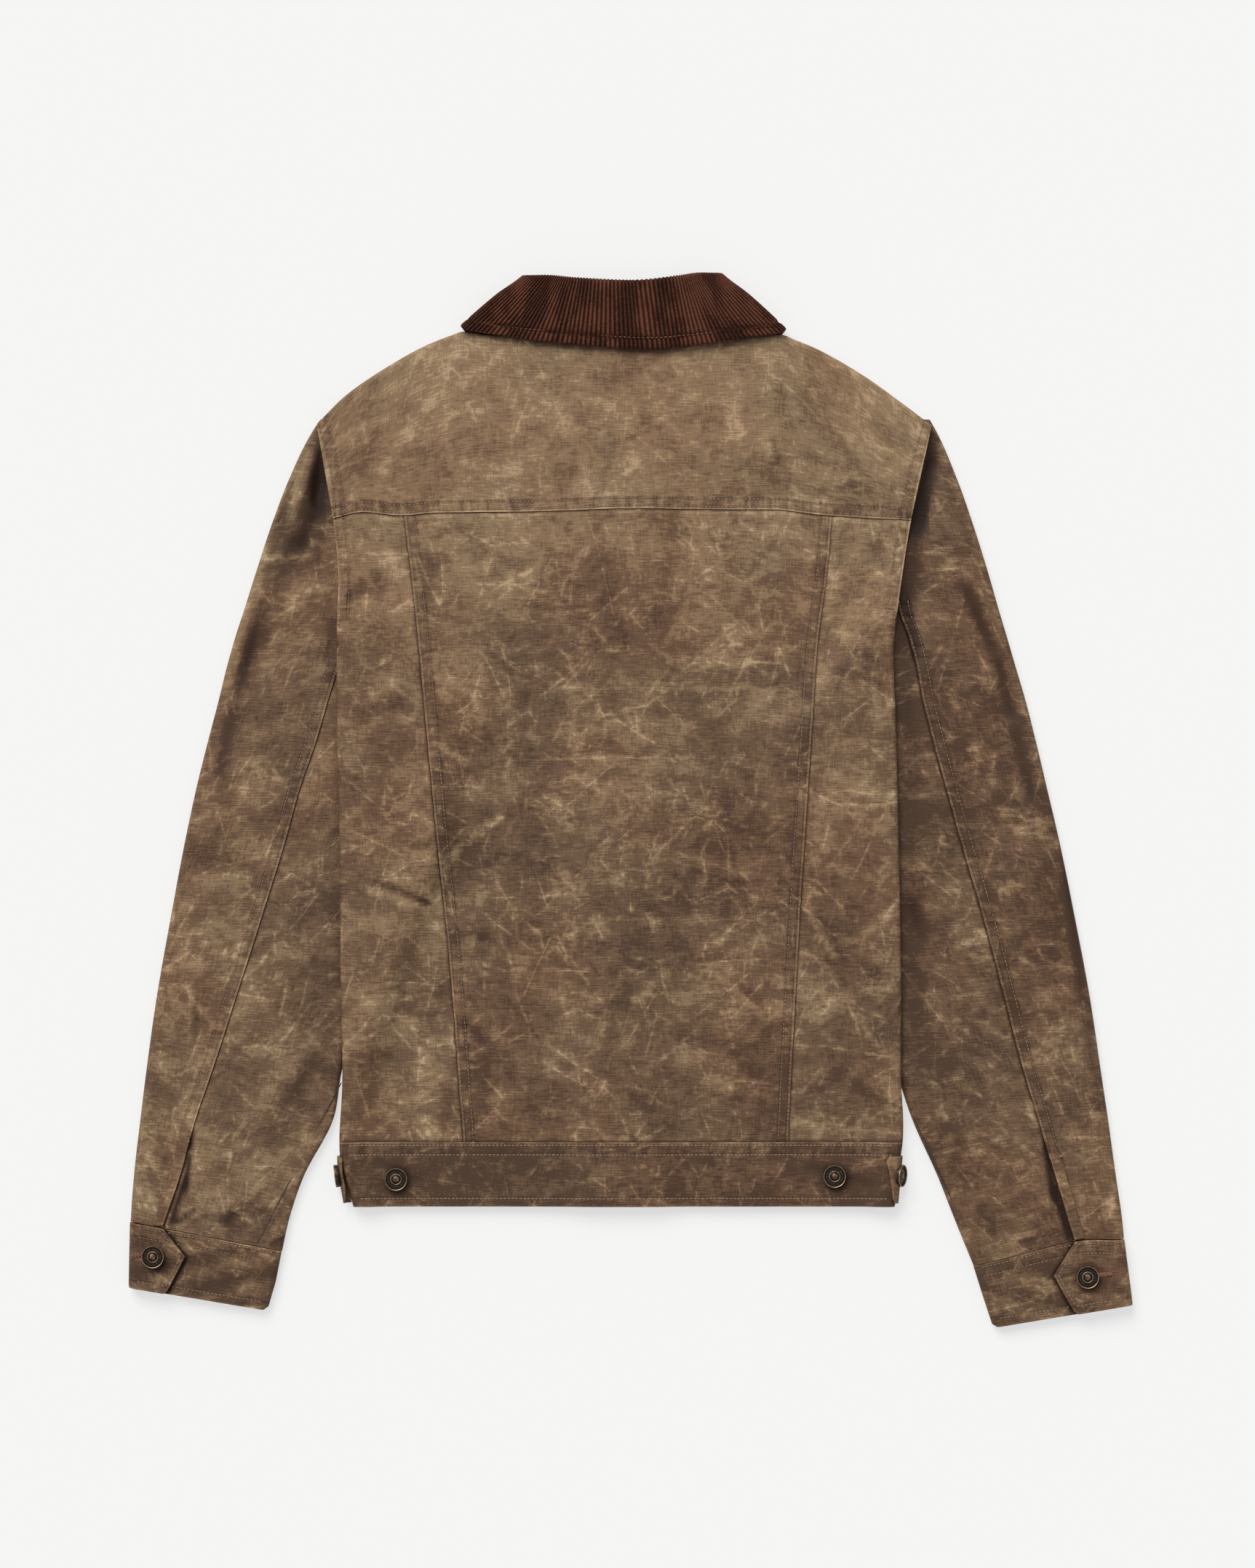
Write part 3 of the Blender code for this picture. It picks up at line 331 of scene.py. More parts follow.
COLLAR = table(
    "turn fold_x fold_y edge_x edge_y fold_z edge_z",
    (180, -17, 303, -88, 264, 0, 0),
    (180, -34, 326, -103, 290, 0, 0),
    (180, -58, 356, -117, 322, 0, 0),
    (180, -80.3, 392.6, -124.5, 353.6, 0, 0),
    (0, -80.3, 392.6, -124.5, 353.6, 18.4, 16.2),
    (0, -61.5, 391.5, -94, 348.8, 19.8, 15.8),
    (0, -39, 388.8, -48, 343.4, 21.0, 15.4),
    (0, 4, 387.0, 9, 339.4, 21.4, 15.2),
    (0, 36, 390.4, 46, 341.8, 21.0, 15.4),
    (0, 52, 393.2, 84, 347.0, 19.8, 15.8),
    (0, 68.6, 394.3, 114.5, 351.2, 18.4, 16.2),
    (180, 68.6, 394.3, 114.5, 351.2, 0, 0),
    (180, 46, 358, 105, 322, 0, 0),
    (180, 22, 328, 92, 290, 0, 0),
    (180, 5, 304, 76, 264, 0, 0),
)
print("tables:", len(BODY["y"]), "levels of the back,", len(COLLAR["turn"]), "stations of the collar")

# %% [markdown]
# ## How high each layer lies
#
# Cloth on a table lies on whatever is under it. The body rides up over the part of the sleeve that is folded
# under it, over the buttons of the front and over the waist tabs. The height is the highest of these, with ramps.


# %% Heights of the layers
def edge_of(side, y):
    return along(BODY, side + "_edge", y)


def seam_of(side, y):
    return along(BODY, side + "_seam", y)


def yoke_seam(x):
    return hermite(YOKE["low_x"], YOKE["low_y"], x)


SLEEVE_REACH, SLEEVE_TOP_RAMP = 10.0, 35.0
SLEEVE_UNDER_Y = 170.0  # below this the sleeves lie under the body
SLEEVE_OUT_Y = {"left": (-208.0, -257.0), "right": (-226.0, -262.0)}  # from full height to nothing


def sleeve_lift(side, x, y):
    """Full height inside the folded sleeve's edge, down to nothing over a ramp outside it."""
    beyond = SIGN[side] * (along(SLEEVE[side], "inner", y) - x)
    high = smoothstep(1.0 - (beyond - SLEEVE_REACH) / LIFT_RAMP)
    leave, down = SLEEVE_OUT_Y[side]
    return SLEEVE_LIFT * high * after(-y, -SLEEVE_UNDER_Y, SLEEVE_TOP_RAMP) * after(y, down, leave - down)


PLACKET_REACH = PLACKET_HALF + 1.0
COLLAR_REACH, COLLAR_RAMP, COLLAR_LOW_Y, COLLAR_Y_RAMP = 112.0, 22.0, 228.0, 30.0
TAB_REACH, TAB_RAMP, TAB_FROM_Y, TAB_Y_RAMP = 8.0, 20.0, -236.0, 24.0


def lift(x, y):
    """Height of the garment's underside: the highest of what lies under this place."""
    heights = [sleeve_lift(side, x, y) for side in SIGN]
    from_centre = np.abs(x - CENTRE_X)
    heights.append(PLACKET_LIFT * smoothstep(1.0 - (from_centre - PLACKET_REACH) / LIFT_RAMP))
    across = smoothstep(1.0 - (from_centre - COLLAR_REACH) / COLLAR_RAMP)
    heights.append(COLLAR_LIFT * across * after(y, COLLAR_LOW_Y, COLLAR_Y_RAMP))
    for side in SIGN:
        inward = SIGN[side] * (edge_of(side, y) - x)
        across = smoothstep(1.0 - (inward - TAB_REACH) / TAB_RAMP)
        heights.append(TAB_LIFT * across * after(-y, -TAB_FROM_Y, TAB_Y_RAMP))
    return np.maximum.reduce(np.broadcast_arrays(*heights))


# %% [markdown]
# ## Folds and creases
#
# Waxed cotton is stiff: it keeps sharp little ridges where it was pinched, and long soft troughs where a sleeve
# turns. Each one here is a bell-shaped ridge along a line, with its own ends, width and height.
# Under them lies a faint unevenness, a sum of many plane waves, because no cloth is ever quite flat.

# %% Folds
FOLDS = table(
    "x0 y0 x1 y1 width height",
    (-243, 262, -297, 112, 13, 3.6), (-252, 250, -287, 80, 9, -1.8), (-238, 256, -252, 190, 9, 2.6),
    (-292, 60, -330, -90, 14, 2.2), (-300, -40, -352, -230, 13, 1.6), (236, 255, 262, 178, 12, 3.0),
    (262, 165, 300, 20, 13, -2.0), (278, 150, 318, -10, 11, 2.4), (288, -20, 330, -200, 13, 2.2),
    (305, -170, 340, -290, 12, 1.8), (106, 282, 113, 226, 16, 1.6), (-210, 305, -150, 285, 15, 1.2),
)
CREASES = table(
    "x0 y0 x1 y1 width height",
    # left side panel and the back beside it
    (-175, 167, -218, 148, 7, -1.6), (-168, 186, -217, 164, 8, 1.0), (-139, 188, -153, 168, 5, -0.9),
    (-151, 212, -155, 192, 4, -0.6), (-195, -61, -173, -70, 3.2, -1.5), (-176, -69, -147, -79, 3.5, -1.7),
    (-198, -67, -151, -84, 5, 1.0), (-201, -55, -168, -64, 5, 0.8), (-168, -36, -148, -35, 2.6, -1.2),
    (-170, -33, -146, -24, 2.6, 0.9), (-117, -104, -104, -104, 2.6, -1.0), (-116, -100, -91, -69, 2.4, 0.8),
    (-116, -108, -96, -115, 4, 0.7), (-124, -25, -128, -60, 5, -0.8), (-133, -161, -106, -186, 6, -1.1),
    (-124, -156, -96, -178, 6, 0.7), (-205, 70, -170, 92, 6, 0.8), (-208, 58, -165, 78, 6, -0.8),
    (-210, -140, -175, -165, 7, 0.8), (-208, -205, -170, -185, 6, -0.8),
    # centre
    (-52, -26, -39, -24, 2.4, 0.7), (-52, 29, -14, 14, 4, -0.9), (-50, 22, -17, 4, 4, 0.7),
    (65, -57, 113, -59, 3, 1.0), (65, -62, 106, -63, 3, -0.6), (-91, -92, 15, -91, 1.6, 0.45),
    (5, -92, 119, -92, 1.6, 0.5), (44, -117, 0, -156, 5, 1.1), (42, -122, 30, -133, 4, -0.9),
    (69, -133, 104, -169, 4, 0.9), (73, -130, 107, -164, 4, -0.6), (-95, 84, -12, 83, 2.0, 0.35),
    (20, 83, 100, 84, 1.8, 0.4), (60, 62, 108, 78, 3, 0.6), (-70, -190, -30, -236, 8, 0.8),
    (-20, -205, 25, -240, 8, -0.8), (50, -222, 90, -190, 7, 0.7), (-60, 140, -28, 118, 4, 0.5),
    (20, 160, 60, 130, 5, 0.5),
    # yoke
    (107, 274, 113, 252, 4, -1.0), (102, 278, 107, 252, 5, 0.8), (165, 241, 180, 236, 2.5, -0.9),
    (161, 237, 178, 232, 3, 0.5), (94, 208, 92, 191, 1.6, 0.5), (-190, 285, -205, 240, 8, -0.9),
    (-176, 270, -190, 235, 9, 0.8), (-60, 300, -30, 262, 8, 0.4), (20, 290, 48, 262, 7, 0.4),
    (176, 292, 196, 262, 7, -0.6),
    # right side panel
    (186, 194, 190, 170, 7, -1.1), (139, -82, 165, -127, 4.5, -1.2), (134, -85, 158, -126, 4, 0.9),
    (145, -116, 163, -139, 3.5, -0.8), (142, -119, 158, -142, 3, 0.6), (141, -167, 172, -166, 1.8, 0.6),
    (188, -126, 178, -142, 8, -0.9), (150, 20, 196, 0, 5, 0.7), (152, 12, 195, -10, 5, -0.6),
    (150, 122, 195, 100, 6, -0.7), (152, 130, 192, 112, 5, 0.7),
    # waistband
    (-196, -270, -150, -288, 5, -0.8),
    (-200, -276, -160, -295, 4, 0.5),
    (128, -274, 190, -292, 5, -0.9),
    (140, -270, 185, -280, 4, 0.5),
    (-40, -268, -25, -300, 5, -0.5),
    (60, -268, 72, -302, 6, -0.5),
    # left sleeve
    (-253, 244, -280, 154, 6, -1.6), (-277, 162, -300, 69, 7, -1.8), (-298, 77, -312, 10, 7, -1.2),
    (-239, 266, -259, 207, 6, 1.4), (-229, 270, -239, 217, 5, -1.6), (-238, 219, -249, 184, 6, -1.2),
    (-282, 170, -316, 22, 6, 0.8), (-227, 122, -232, 103, 6, -1.2), (-327, -147, -327, -186, 4, -1.1),
    (-331, -142, -331, -186, 4, 0.7), (-274, -287, -300, -310, 4, 1.3), (-271, -291, -295, -315, 4.5, -1.2),
    (-321, -307, -338, -321, 3.5, 1.0), (-316, -309, -331, -323, 4, -0.9), (-258, -301, -271, -323, 4, -0.9),
    (-239, -186, -255, -230, 10, -1.0), (-233, -170, -294, -252, 12, 1.0), (-338, -38, -272, -55, 9, -0.9),
    (-345, -80, -285, -70, 7, 0.6), (-250, 60, -262, 30, 5, 0.5),
    # right sleeve
    (251, 166, 278, 106, 6, -1.3), (276, 112, 288, 55, 6, -1.5), (287, 60, 306, -11, 7, -1.2),
    (290, 110, 315, 0, 6, 0.9), (324, -27, 342, -162, 5, -0.9), (342, -153, 356, -252, 5, -0.8),
    (219, 98, 283, 101, 2, 0.6), (225, 43, 271, 43, 2, 0.6), (218, -116, 270, -116, 1.8, 0.6),
    (285, -156, 342, -157, 1.8, 0.6), (219, -153, 246, -170, 2.5, 0.7), (238, -148, 227, -186, 2.5, 0.6),
    (213, -44, 254, -16, 2.5, 0.6), (210, -71, 224, -110, 8, -1.0), (230, 268, 217, 197, 7, -1.6),
    (210, 148, 217, 99, 6, -1.2), (262, -235, 300, -262, 6, 0.6), (275, -300, 300, -328, 6, 0.7),
)
# Painted shade in deep folds, beside the armholes and along lapped edges, painted highlights on two ridges of the
# left sleeve, and pale crease lines and darker patches of the cloth: a line, a width, and how dark or light it gets
SHADES = {
    "body": table(
        "x0 y0 x1 y1 width height",
        (-186, 178, -222, 146, 6, -0.26), (-150, 190, -156, 150, 5, -0.14), (-194, -57, -143, -81, 2.2, -0.20),
        (-118, -104, -100, -106, 4, -0.22), (-224, 126, -214, 104, 3, -0.30), (108, 262, 112, 236, 5, -0.18),
        (156, 239, 186, 233, 3, -0.34), (184, 214, 189, 184, 6, -0.22), (-20, 190, -14, 140, 9, -0.10),
        (150, 100, 196, 84, 5, -0.14), (60, -170, 96, -214, 6, -0.14), (-120, -180, -84, -216, 6, -0.14),
        (150, -200, 188, -228, 6, -0.16), (-62, 84, 144, 84, 2.0, 0.13), (-36, -91, 114, -90, 2.2, 0.16),
        (-136, 70, -44, 34, 4.5, 0.15), (-52, 36, 96, 15, 4.0, 0.13), (60, 47, 142, 74, 4.0, 0.12),
        (-68, 144, -30, 117, 4.0, 0.14), (28, -38, 96, -59, 3.5, 0.15), (-190, -50, -150, -33, 4.0, 0.15),
        (170, -26, 200, -19, 4.0, 0.14), (120, 150, 190, 132, 4.0, 0.10), (-200, 96, -158, 84, 4.0, 0.12),
        (0, 184, 2, 98, 19, -0.09), (-122, -38, -48, -58, 15, -0.14), (-142, -42, -92, -4, 8, -0.16),
        (88, 42, 84, -48, 17, -0.11), (18, -70, 92, -86, 9, -0.09), (-30, -130, 30, -150, 14, -0.07),
    ),
    "sleeve": table(
        "x0 y0 x1 y1 width height",
        (-232, 296, -233, 204, 8, -0.50),
        (-230, 268, -240, 160, 11, -0.30),
        (-240, 262, -258, 158, 9, -0.20),
        (-229, 282, -264, 172, 8.5, -0.20),
        (-247, 214, -296, 78, 9, -0.27),
        (-274, 150, -314, -6, 8.5, -0.22),
        (-240, 284, -257, 196, 5, 0.16),
        (-259, 246, -292, 116, 4, 0.10),
        (-226, 146, -222, 78, 6, -0.22),
        (-224, 196, -222, 108, 5, -0.14),
        (-218, 60, -217, -250, 5, -0.14),
        (-328.5, -246, -336, -300, 2.4, -0.55),
        (-333, -280, -347.5, -325, 2.4, -0.65),
        (-345, -320, -325, -307, 2.2, -0.50),
        (-309, -322, -285, -294, 3.5, -0.36),
        (-304, -322, -298, -308, 7, -0.26),
        (-272, -336, -259, -328, 2.2, -0.50),
        (-290, -313, -270, -307, 3, -0.30),
        (-262, -296, -250, -312, 3.5, -0.26),
        (-236, -190, -262, -240, 9, -0.14),
        (232, 292, 208, 190, 8, -0.42),
        (220, 236, 206, 140, 9, -0.34),
        (205, 172, 210, 30, 7, -0.22),
        (238, 188, 286, 82, 5, -0.16),
        (280, 100, 318, -20, 8, -0.14),
        (322, -20, 350, -200, 7, -0.16),
        (210, 60, 214, -190, 8, -0.14),
        (311, -252, 321, -308, 2.4, -0.55),
        (317, -285, 333, -338, 2.6, -0.65),
        (290, -334, 326, -322, 3, -0.26),
        (262, -300, 276, -330, 4, -0.18),
    ),
}
SLEEVE_SEAM_TOP = {"left": 101.0, "right": 151.0}  # where the sleeves' back seams come out from under the body
WAVE_COUNT = 56
SHORTEST_WAVE, LONGEST_WAVE = 24.0, 150.0
wave_rng = np.random.default_rng(11)
wave_length = np.geomspace(SHORTEST_WAVE, LONGEST_WAVE, WAVE_COUNT)
wave_angle = wave_rng.uniform(0.0, math.pi, WAVE_COUNT)
wave_phase = wave_rng.uniform(0.0, 2 * math.pi, WAVE_COUNT)
WAVES = np.stack([2 * math.pi / wave_length * f(wave_angle) for f in (np.cos, np.sin)])


def ridges(rows, x, y, sharpen=1.0):
    """The sum over the table of height * exp(-(distance from the line / width)^2), eased in and out at its ends."""
    total = np.zeros(np.broadcast(x, y).shape)
    for x0, y0, x1, y1, width, height in zip(*rows.values()):
        run_x, run_y = x1 - x0, y1 - y0
        length = math.hypot(run_x, run_y)
        t = ((x - x0) * run_x + (y - y0) * run_y) / length**2
        off = ((x - x0) * run_y - (y - y0) * run_x) / length
        ends = smoothstep(t / 0.2) * smoothstep((1 - t) / 0.2)
        total += height * np.exp(-((off / width * sharpen) ** 2)) * ends
    return total


def unevenness(x, y):
    """A sum of plane waves, each with a height that grows with its length. It stays within about 1 mm."""
    x, y = np.broadcast_arrays(x, y)
    total = np.zeros(x.shape)
    for kx, ky, phase, size in zip(*WAVES, wave_phase, wave_length):
        total += 0.0011 * size * np.sin(kx * x + ky * y + phase)
    return total


print(len(FOLDS["x0"]), "folds and", len(CREASES["x0"]), "creases")


# %% The outer face of the back and of the sleeves
SWELL, SWELL_REACH, SWELL_RAMP, SWELL_FROM_Y, SWELL_Y_RAMP = 2.3, 9.0, 26.0, 100.0, 40.0
# How far in from its edge a face is calm, and over what distance the folds or creases come up
BACK_FOLDS_IN, BACK_CREASES_IN = (12.0, 20.0), (2.0, 10.0)
SLEEVE_FOLDS_IN, SLEEVE_CREASES_IN, SLEEVE_UNEVEN = (3.0, 14.0), (-1.0, 6.0), 1.3


def back_top(x, y):
    """The layer's own height and thickness, a swell along the armholes, the folds, creases and unevenness."""
    swell = 0.0
    for side in SIGN:
        inward = SIGN[side] * (edge_of(side, y) - x)
        swell = swell + SWELL * before(inward, SWELL_REACH, SWELL_RAMP) * after(y, SWELL_FROM_Y, SWELL_Y_RAMP)
    inside = np.minimum(edge_of("right", y) - x, x - edge_of("left", y))
    soft = ridges(FOLDS, x, y) * after(inside, *BACK_FOLDS_IN)
    small = (ridges(CREASES, x, y) + unevenness(x, y)) * after(inside, *BACK_CREASES_IN)
    return lift(x, y) + BODY_THICK + swell + soft + small


def sleeve_top(side, x, y):
    """Flat where the body lies on it, with the folds and creases outside the body's edge."""
    outside = SIGN[side] * (x - edge_of(side, y))
    soft = ridges(FOLDS, x, y) * after(outside, *SLEEVE_FOLDS_IN)
    small = (ridges(CREASES, x, y) + SLEEVE_UNEVEN * unevenness(x, y)) * after(outside, *SLEEVE_CREASES_IN)
    return SLEEVE_THICK + soft + small


# %% [markdown]
# ## From a grid of points to a piece of cloth
#
# A piece is a wall between an outer and an inner grid. The builder below joins them at the rim, checks by the sign
# of the volume that every face points outwards, and stores two things for the materials: a UV map in metres, so
# the weave runs along the cloth and round its folds, and a value for each point that holds its wear and painted
# shade. Ridges rub, so they are lightest; folds, seams, stitch grooves and cloth beside lapped edges are painted
# darker, as shade.


# %% The wall builder
def quads_of(grid):
    """The four corners of every cell of a grid of point numbers."""
    return np.stack([grid[:-1, :-1], grid[1:, :-1], grid[1:, 1:], grid[:-1, 1:]], axis=-1).reshape(-1, 4)


def wall_faces(rows, columns):
    """Quads of the outer grid, the inner grid turned round, and the four strips of the rim."""
    out = np.arange(rows * columns).reshape(rows, columns)
    into = out + out.size
    strips = [
        np.stack([into[:, 0], out[:, 0]], axis=1),
        np.stack([out[:, -1], into[:, -1]], axis=1),
        np.stack([out[0], into[0]]),
        np.stack([into[-1], out[-1]]),
    ]
    return np.concatenate([quads_of(out), quads_of(into)[:, ::-1]] + [quads_of(s) for s in strips])


def signed_volume(points, quads):
    """The sum over all triangles of (b - a) x (c - a) . a / 6: above zero when the faces point outwards."""
    a, b, c, d = (points[quads[:, k]] for k in range(4))
    return float(np.sum(np.cross(b - a, c - a) * a) + np.sum(np.cross(c - a, d - a) * a)) / 6.0


def mesh_from(name, points, faces, material, smooth_angle=50.0):
    """A mesh object from points in millimetres and an array of faces with equal corners, facing outwards."""
    points = (points + SHIFT) * MM
    mesh = bpy.data.meshes.new(name)
    mesh.vertices.add(len(points))
    mesh.vertices.foreach_set("co", points.ravel())
    mesh.loops.add(faces.size)
    mesh.loops.foreach_set("vertex_index", faces.ravel().astype(np.int32))
    mesh.polygons.add(len(faces))
    mesh.polygons.foreach_set("loop_start", np.arange(0, faces.size, faces.shape[1], dtype=np.int32))
    mesh.update(calc_edges=True)
    mesh.validate()
    mesh.materials.append(material)
    mesh.shade_smooth()
    mesh.set_sharp_from_angle(angle=math.radians(smooth_angle))
    made = linked(name, mesh)
    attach(made, "root")
    return made


def add_values(made, faces, uv, worn):
    """The UV map in metres and the wear, point by point."""
    layer = made.data.uv_layers.new(name="cloth")
    layer.data.foreach_set("uv", (uv * MM)[faces.ravel()].ravel())
    values = made.data.attributes.new("worn", "FLOAT", "POINT")
    values.data.foreach_set("value", worn.ravel().astype(np.float32))


def grid_lengths(grid):
    """Arc length along the rows and along the columns of a grid, in millimetres."""
    across = np.linalg.norm(np.diff(grid, axis=1), axis=-1)
    down = np.linalg.norm(np.diff(grid, axis=0), axis=-1)
    return across, down


piece_count = 0


def cloth(name, outer, inner, material, worn=None, slot="waxed_canvas", rests_on=(), turned=0.0):
    """A closed wall of cloth that stands for the node of its own name and hides it, and prints its flat size.

    `turned` is what the cut has more at each long edge, turned in under the strip.
    """
    global piece_count
    piece_count += 1
    rows, columns = outer.shape[:2]
    faces = wall_faces(rows, columns)
    points = np.concatenate([outer.reshape(-1, 3), inner.reshape(-1, 3)])
    if signed_volume(points, faces) < 0:
        faces = faces[:, ::-1]
    across, down = grid_lengths(outer)
    u = np.concatenate([np.zeros((rows, 1)), np.cumsum(across, axis=1)], axis=1)
    u = u - u[:, columns // 2][:, None]
    v = -np.concatenate([np.zeros((1, columns)), np.cumsum(down, axis=0)])
    v = np.repeat(v[:, [columns // 2]], columns, axis=1)
    uv = np.stack([u, v], axis=-1).reshape(-1, 2) + piece_count * np.array([1370.0, 2110.0])
    worn = np.zeros((rows, columns)) if worn is None else worn
    made = mesh_from(name + "_cloth", points, faces, material)
    add_values(made, faces, np.tile(uv, (2, 1)), np.tile(worn.ravel(), 2))
    width, length = (float(np.max(across.sum(axis=1))) + 2 * turned) * MM, float(np.max(down.sum(axis=0))) * MM
    a, b, c, d = outer[:-1, :-1], outer[1:, :-1], outer[1:, 1:], outer[:-1, 1:]
    area = float(np.sum(np.linalg.norm(np.cross(c - a, d - b), axis=-1))) / 2 * MM * MM
    area = min(area, width * length)
    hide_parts(name)
    print(f"{name}: {len(faces)} faces, cut {width * 1000:.0f} x {length * 1000:.0f} mm, {area * 1e4:.0f} cm2")


# %% [markdown]
# ## The waxed canvas
#
# The wax in the cloth cracks wherever it was bent, and turns pale there. What is left between are darker, redder
# patches that were never creased. So the finish is a map of lightness: warped clouds, a net of fine cracks, and
# straight bends, each a mask between 0 and 1. A colour ramp turns their sum into four browns.
# Threads of uneven thickness are a noise drawn out a long way along the cloth's own two directions.


# %% Node helpers
def node(tree, kind, inputs=None, **settings):
    """A shader node with its settings and inputs: a socket is linked, anything else is a value."""
    made = tree.nodes.new("ShaderNode" + kind)
    for key, value in settings.items():
        setattr(made, key, value)
    for key, value in (inputs or {}).items():
        if isinstance(value, bpy.types.NodeSocket):
            tree.links.new(value, made.inputs[key])
        else:
            made.inputs[key].default_value = value
    return made


def math_node(tree, operation, a, b=0.0):
    """One sum, product or the like of two values."""
    return node(tree, "Math", {0: a, 1: b}, operation=operation).outputs[0]


def plus(tree, a, b, share=None):
    """a + share * b, or a + b."""
    return math_node(tree, "ADD", a, b if share is None else math_node(tree, "MULTIPLY", b, share))


def moved(tree, vector, by, share=1.0):
    """vector + share * by."""
    by = node(tree, "VectorMath", {0: by, "Scale": share}, operation="SCALE").outputs[0]
    return node(tree, "VectorMath", {0: vector, 1: by}, operation="ADD").outputs[0]


def ranged(tree, value, low, high, to_low=0.0, to_high=1.0):
    """Smooth step of a value from low..high to to_low..to_high."""
    inputs = {"Value": value, "From Min": low, "From Max": high, "To Min": to_low, "To Max": to_high}
    return node(tree, "MapRange", inputs, interpolation_type="SMOOTHSTEP").outputs["Result"]


def noise(tree, vector, scale, detail=2.0, rough=0.5, distort=0.0):
    """Noise in the cloth's own plane."""
    inputs = {"Vector": vector, "Scale": scale, "Detail": detail, "Roughness": rough, "Distortion": distort}
    return node(tree, "TexNoise", inputs, noise_dimensions="2D").outputs


def placed(tree, vector, turn=0.0, scale=(1.0, 1.0, 1.0), shift=(0.0, 0.0, 0.0)):
    """The vector turned in its plane, stretched and moved."""
    inputs = {"Vector": vector, "Rotation": (0.0, 0.0, turn), "Scale": scale, "Location": shift}
    return node(tree, "Mapping", inputs).outputs["Vector"]


def link_all(tree, target, values):
    """Links each value to the input of that name."""
    for socket, value in values.items():
        tree.links.new(value, target.inputs[socket])


def bumped(tree, shader, height, distance, strength):
    """A bump of that height on the shader's normal."""
    bump = node(tree, "Bump", {"Height": height, "Distance": distance, "Strength": strength})
    tree.links.new(bump.outputs["Normal"], shader.inputs["Normal"])


def cloth_values(tree):
    """The UV map in metres and the wear that the wall builder stored."""
    uv = node(tree, "UVMap", uv_map="cloth").outputs["UV"]
    return uv, node(tree, "Attribute", attribute_name="worn").outputs["Fac"]


def effect(name, inputs, outputs):
    """An empty node group with typed sockets, and its two ends."""
    tree = bpy.data.node_groups.new(name, "ShaderNodeTree")
    for way, sockets in (("INPUT", inputs), ("OUTPUT", outputs)):
        for socket, kind in sockets.items():
            tree.interface.new_socket(socket, in_out=way, socket_type="NodeSocket" + kind)
    return tree, tree.nodes.new("NodeGroupInput"), tree.nodes.new("NodeGroupOutput")


# %% The wax: clouds, veins and scratches
wax_outputs = {"Light": "Float", "Lines": "Float", "Warm": "Float"}
wax, wax_in, wax_out = effect("cracked_wax", {"Cloth": "Vector"}, wax_outputs)
here = wax_in.outputs["Cloth"]
drift = noise(wax, here, 38.0, 4.0, 0.6)["Color"]
drift = node(wax, "VectorMath", {0: drift, 1: (0.5, 0.5, 0.5)}, operation="SUBTRACT").outputs[0]
WARP, LINE_WARP = 0.016, 0.00352  # metres that clouds and lines are pushed about
warped, bent = moved(wax, here, drift, WARP), moved(wax, here, drift, LINE_WARP)

# each layer: stretch across and down, scale, detail, roughness, the noise values that become 0 and 1, and its share
LAYERS = (
    ((0.8, 1.0), 8.0, 6.0, 0.55, 0.36, 0.64, 0.20),
    ((0.8, 1.0), 26.0, 8.0, 0.60, 0.38, 0.64, 0.25),
    ((0.8, 1.0), 80.0, 6.0, 0.62, 0.40, 0.68, 0.24),
    ((0.5, 1.0), 380.0, 4.0, 0.80, 0.30, 0.70, 0.16),
)
light = 0.0
for i, (stretch, scale, detail, rough, low, high, share) in enumerate(LAYERS):
    at = placed(wax, warped, scale=(*stretch, 1.0), shift=(3.1 * i, 1.7 * i, 0.0))
    layer = ranged(wax, noise(wax, at, scale, detail, rough)["Fac"], low, high, 0.0, share)
    light = math_node(wax, "ADD", light, layer)

# A crack is where a smooth noise passes through one half: a thin pale line inside a wider soft one.
# each set: its direction, how much it is drawn out, scale, shift, half widths of line and halo, the mask's scale
CRACKS = (
    (0.10, 0.55, 17.0, 1.0, 0.010, 0.060, 21.0),
    (0.55, 0.10, 24.0, 2.0, 0.012, 0.045, 23.0),
    (-0.70, 0.10, 26.0, 4.0, 0.012, 0.045, 19.0),
    (1.30, 0.10, 28.0, 6.0, 0.012, 0.040, 24.0),
    (0.02, 0.07, 25.0, 8.0, 0.012, 0.050, 20.0),
    (-1.10, 0.09, 25.0, 11.0, 0.012, 0.040, 25.0),
)
# And a sharp bend is straight: the borders between cells round scattered points. Same columns.
BENDS = (
    (0.30, 0.70, 17.0, 0.5, 0.008, 0.060, 17.0),
    (-0.80, 0.45, 26.0, 2.5, 0.012, 0.085, 23.0),
    (0.80, 0.40, 34.0, 5.5, 0.015, 0.100, 27.0),
    (1.45, 0.50, 46.0, 7.5, 0.020, 0.120, 30.0),
)
lines, halos = 0.0, 0.0
for k, (turn, stretch, scale, shift, thin, wide, mask) in enumerate(CRACKS + BENDS):
    drawn = placed(wax, placed(wax, bent, turn=turn, shift=(shift, shift / 2, 0)), scale=(stretch, 1.0, 1.0))
    if k < len(CRACKS):
        middle = math_node(wax, "SUBTRACT", noise(wax, drawn, scale, 1.0, 0.5, 0.1)["Fac"], 0.5)
        near = math_node(wax, "ABSOLUTE", middle)
    else:
        shape = {"voronoi_dimensions": "2D", "feature": "DISTANCE_TO_EDGE"}
        near = node(wax, "TexVoronoi", {"Vector": drawn, "Scale": scale}, **shape).outputs["Distance"]
    where = noise(wax, placed(wax, here, shift=(-shift, shift, 0)), mask, 5.0, 0.65)["Fac"]
    where = ranged(wax, where, 0.49, 0.66)
    line, halo = (math_node(wax, "MULTIPLY", ranged(wax, near, 0.0, w, 1.0, 0.0), where) for w in (thin, wide))
    lines, halos = math_node(wax, "MAXIMUM", lines, line), math_node(wax, "MAXIMUM", halos, halo)
ragged = ranged(wax, noise(wax, placed(wax, here, scale=(0.6, 1.0, 1.0)), 190.0, 4.0, 0.75)["Fac"], 0.36, 0.62)
halos = math_node(wax, "MULTIPLY", halos, ragged)
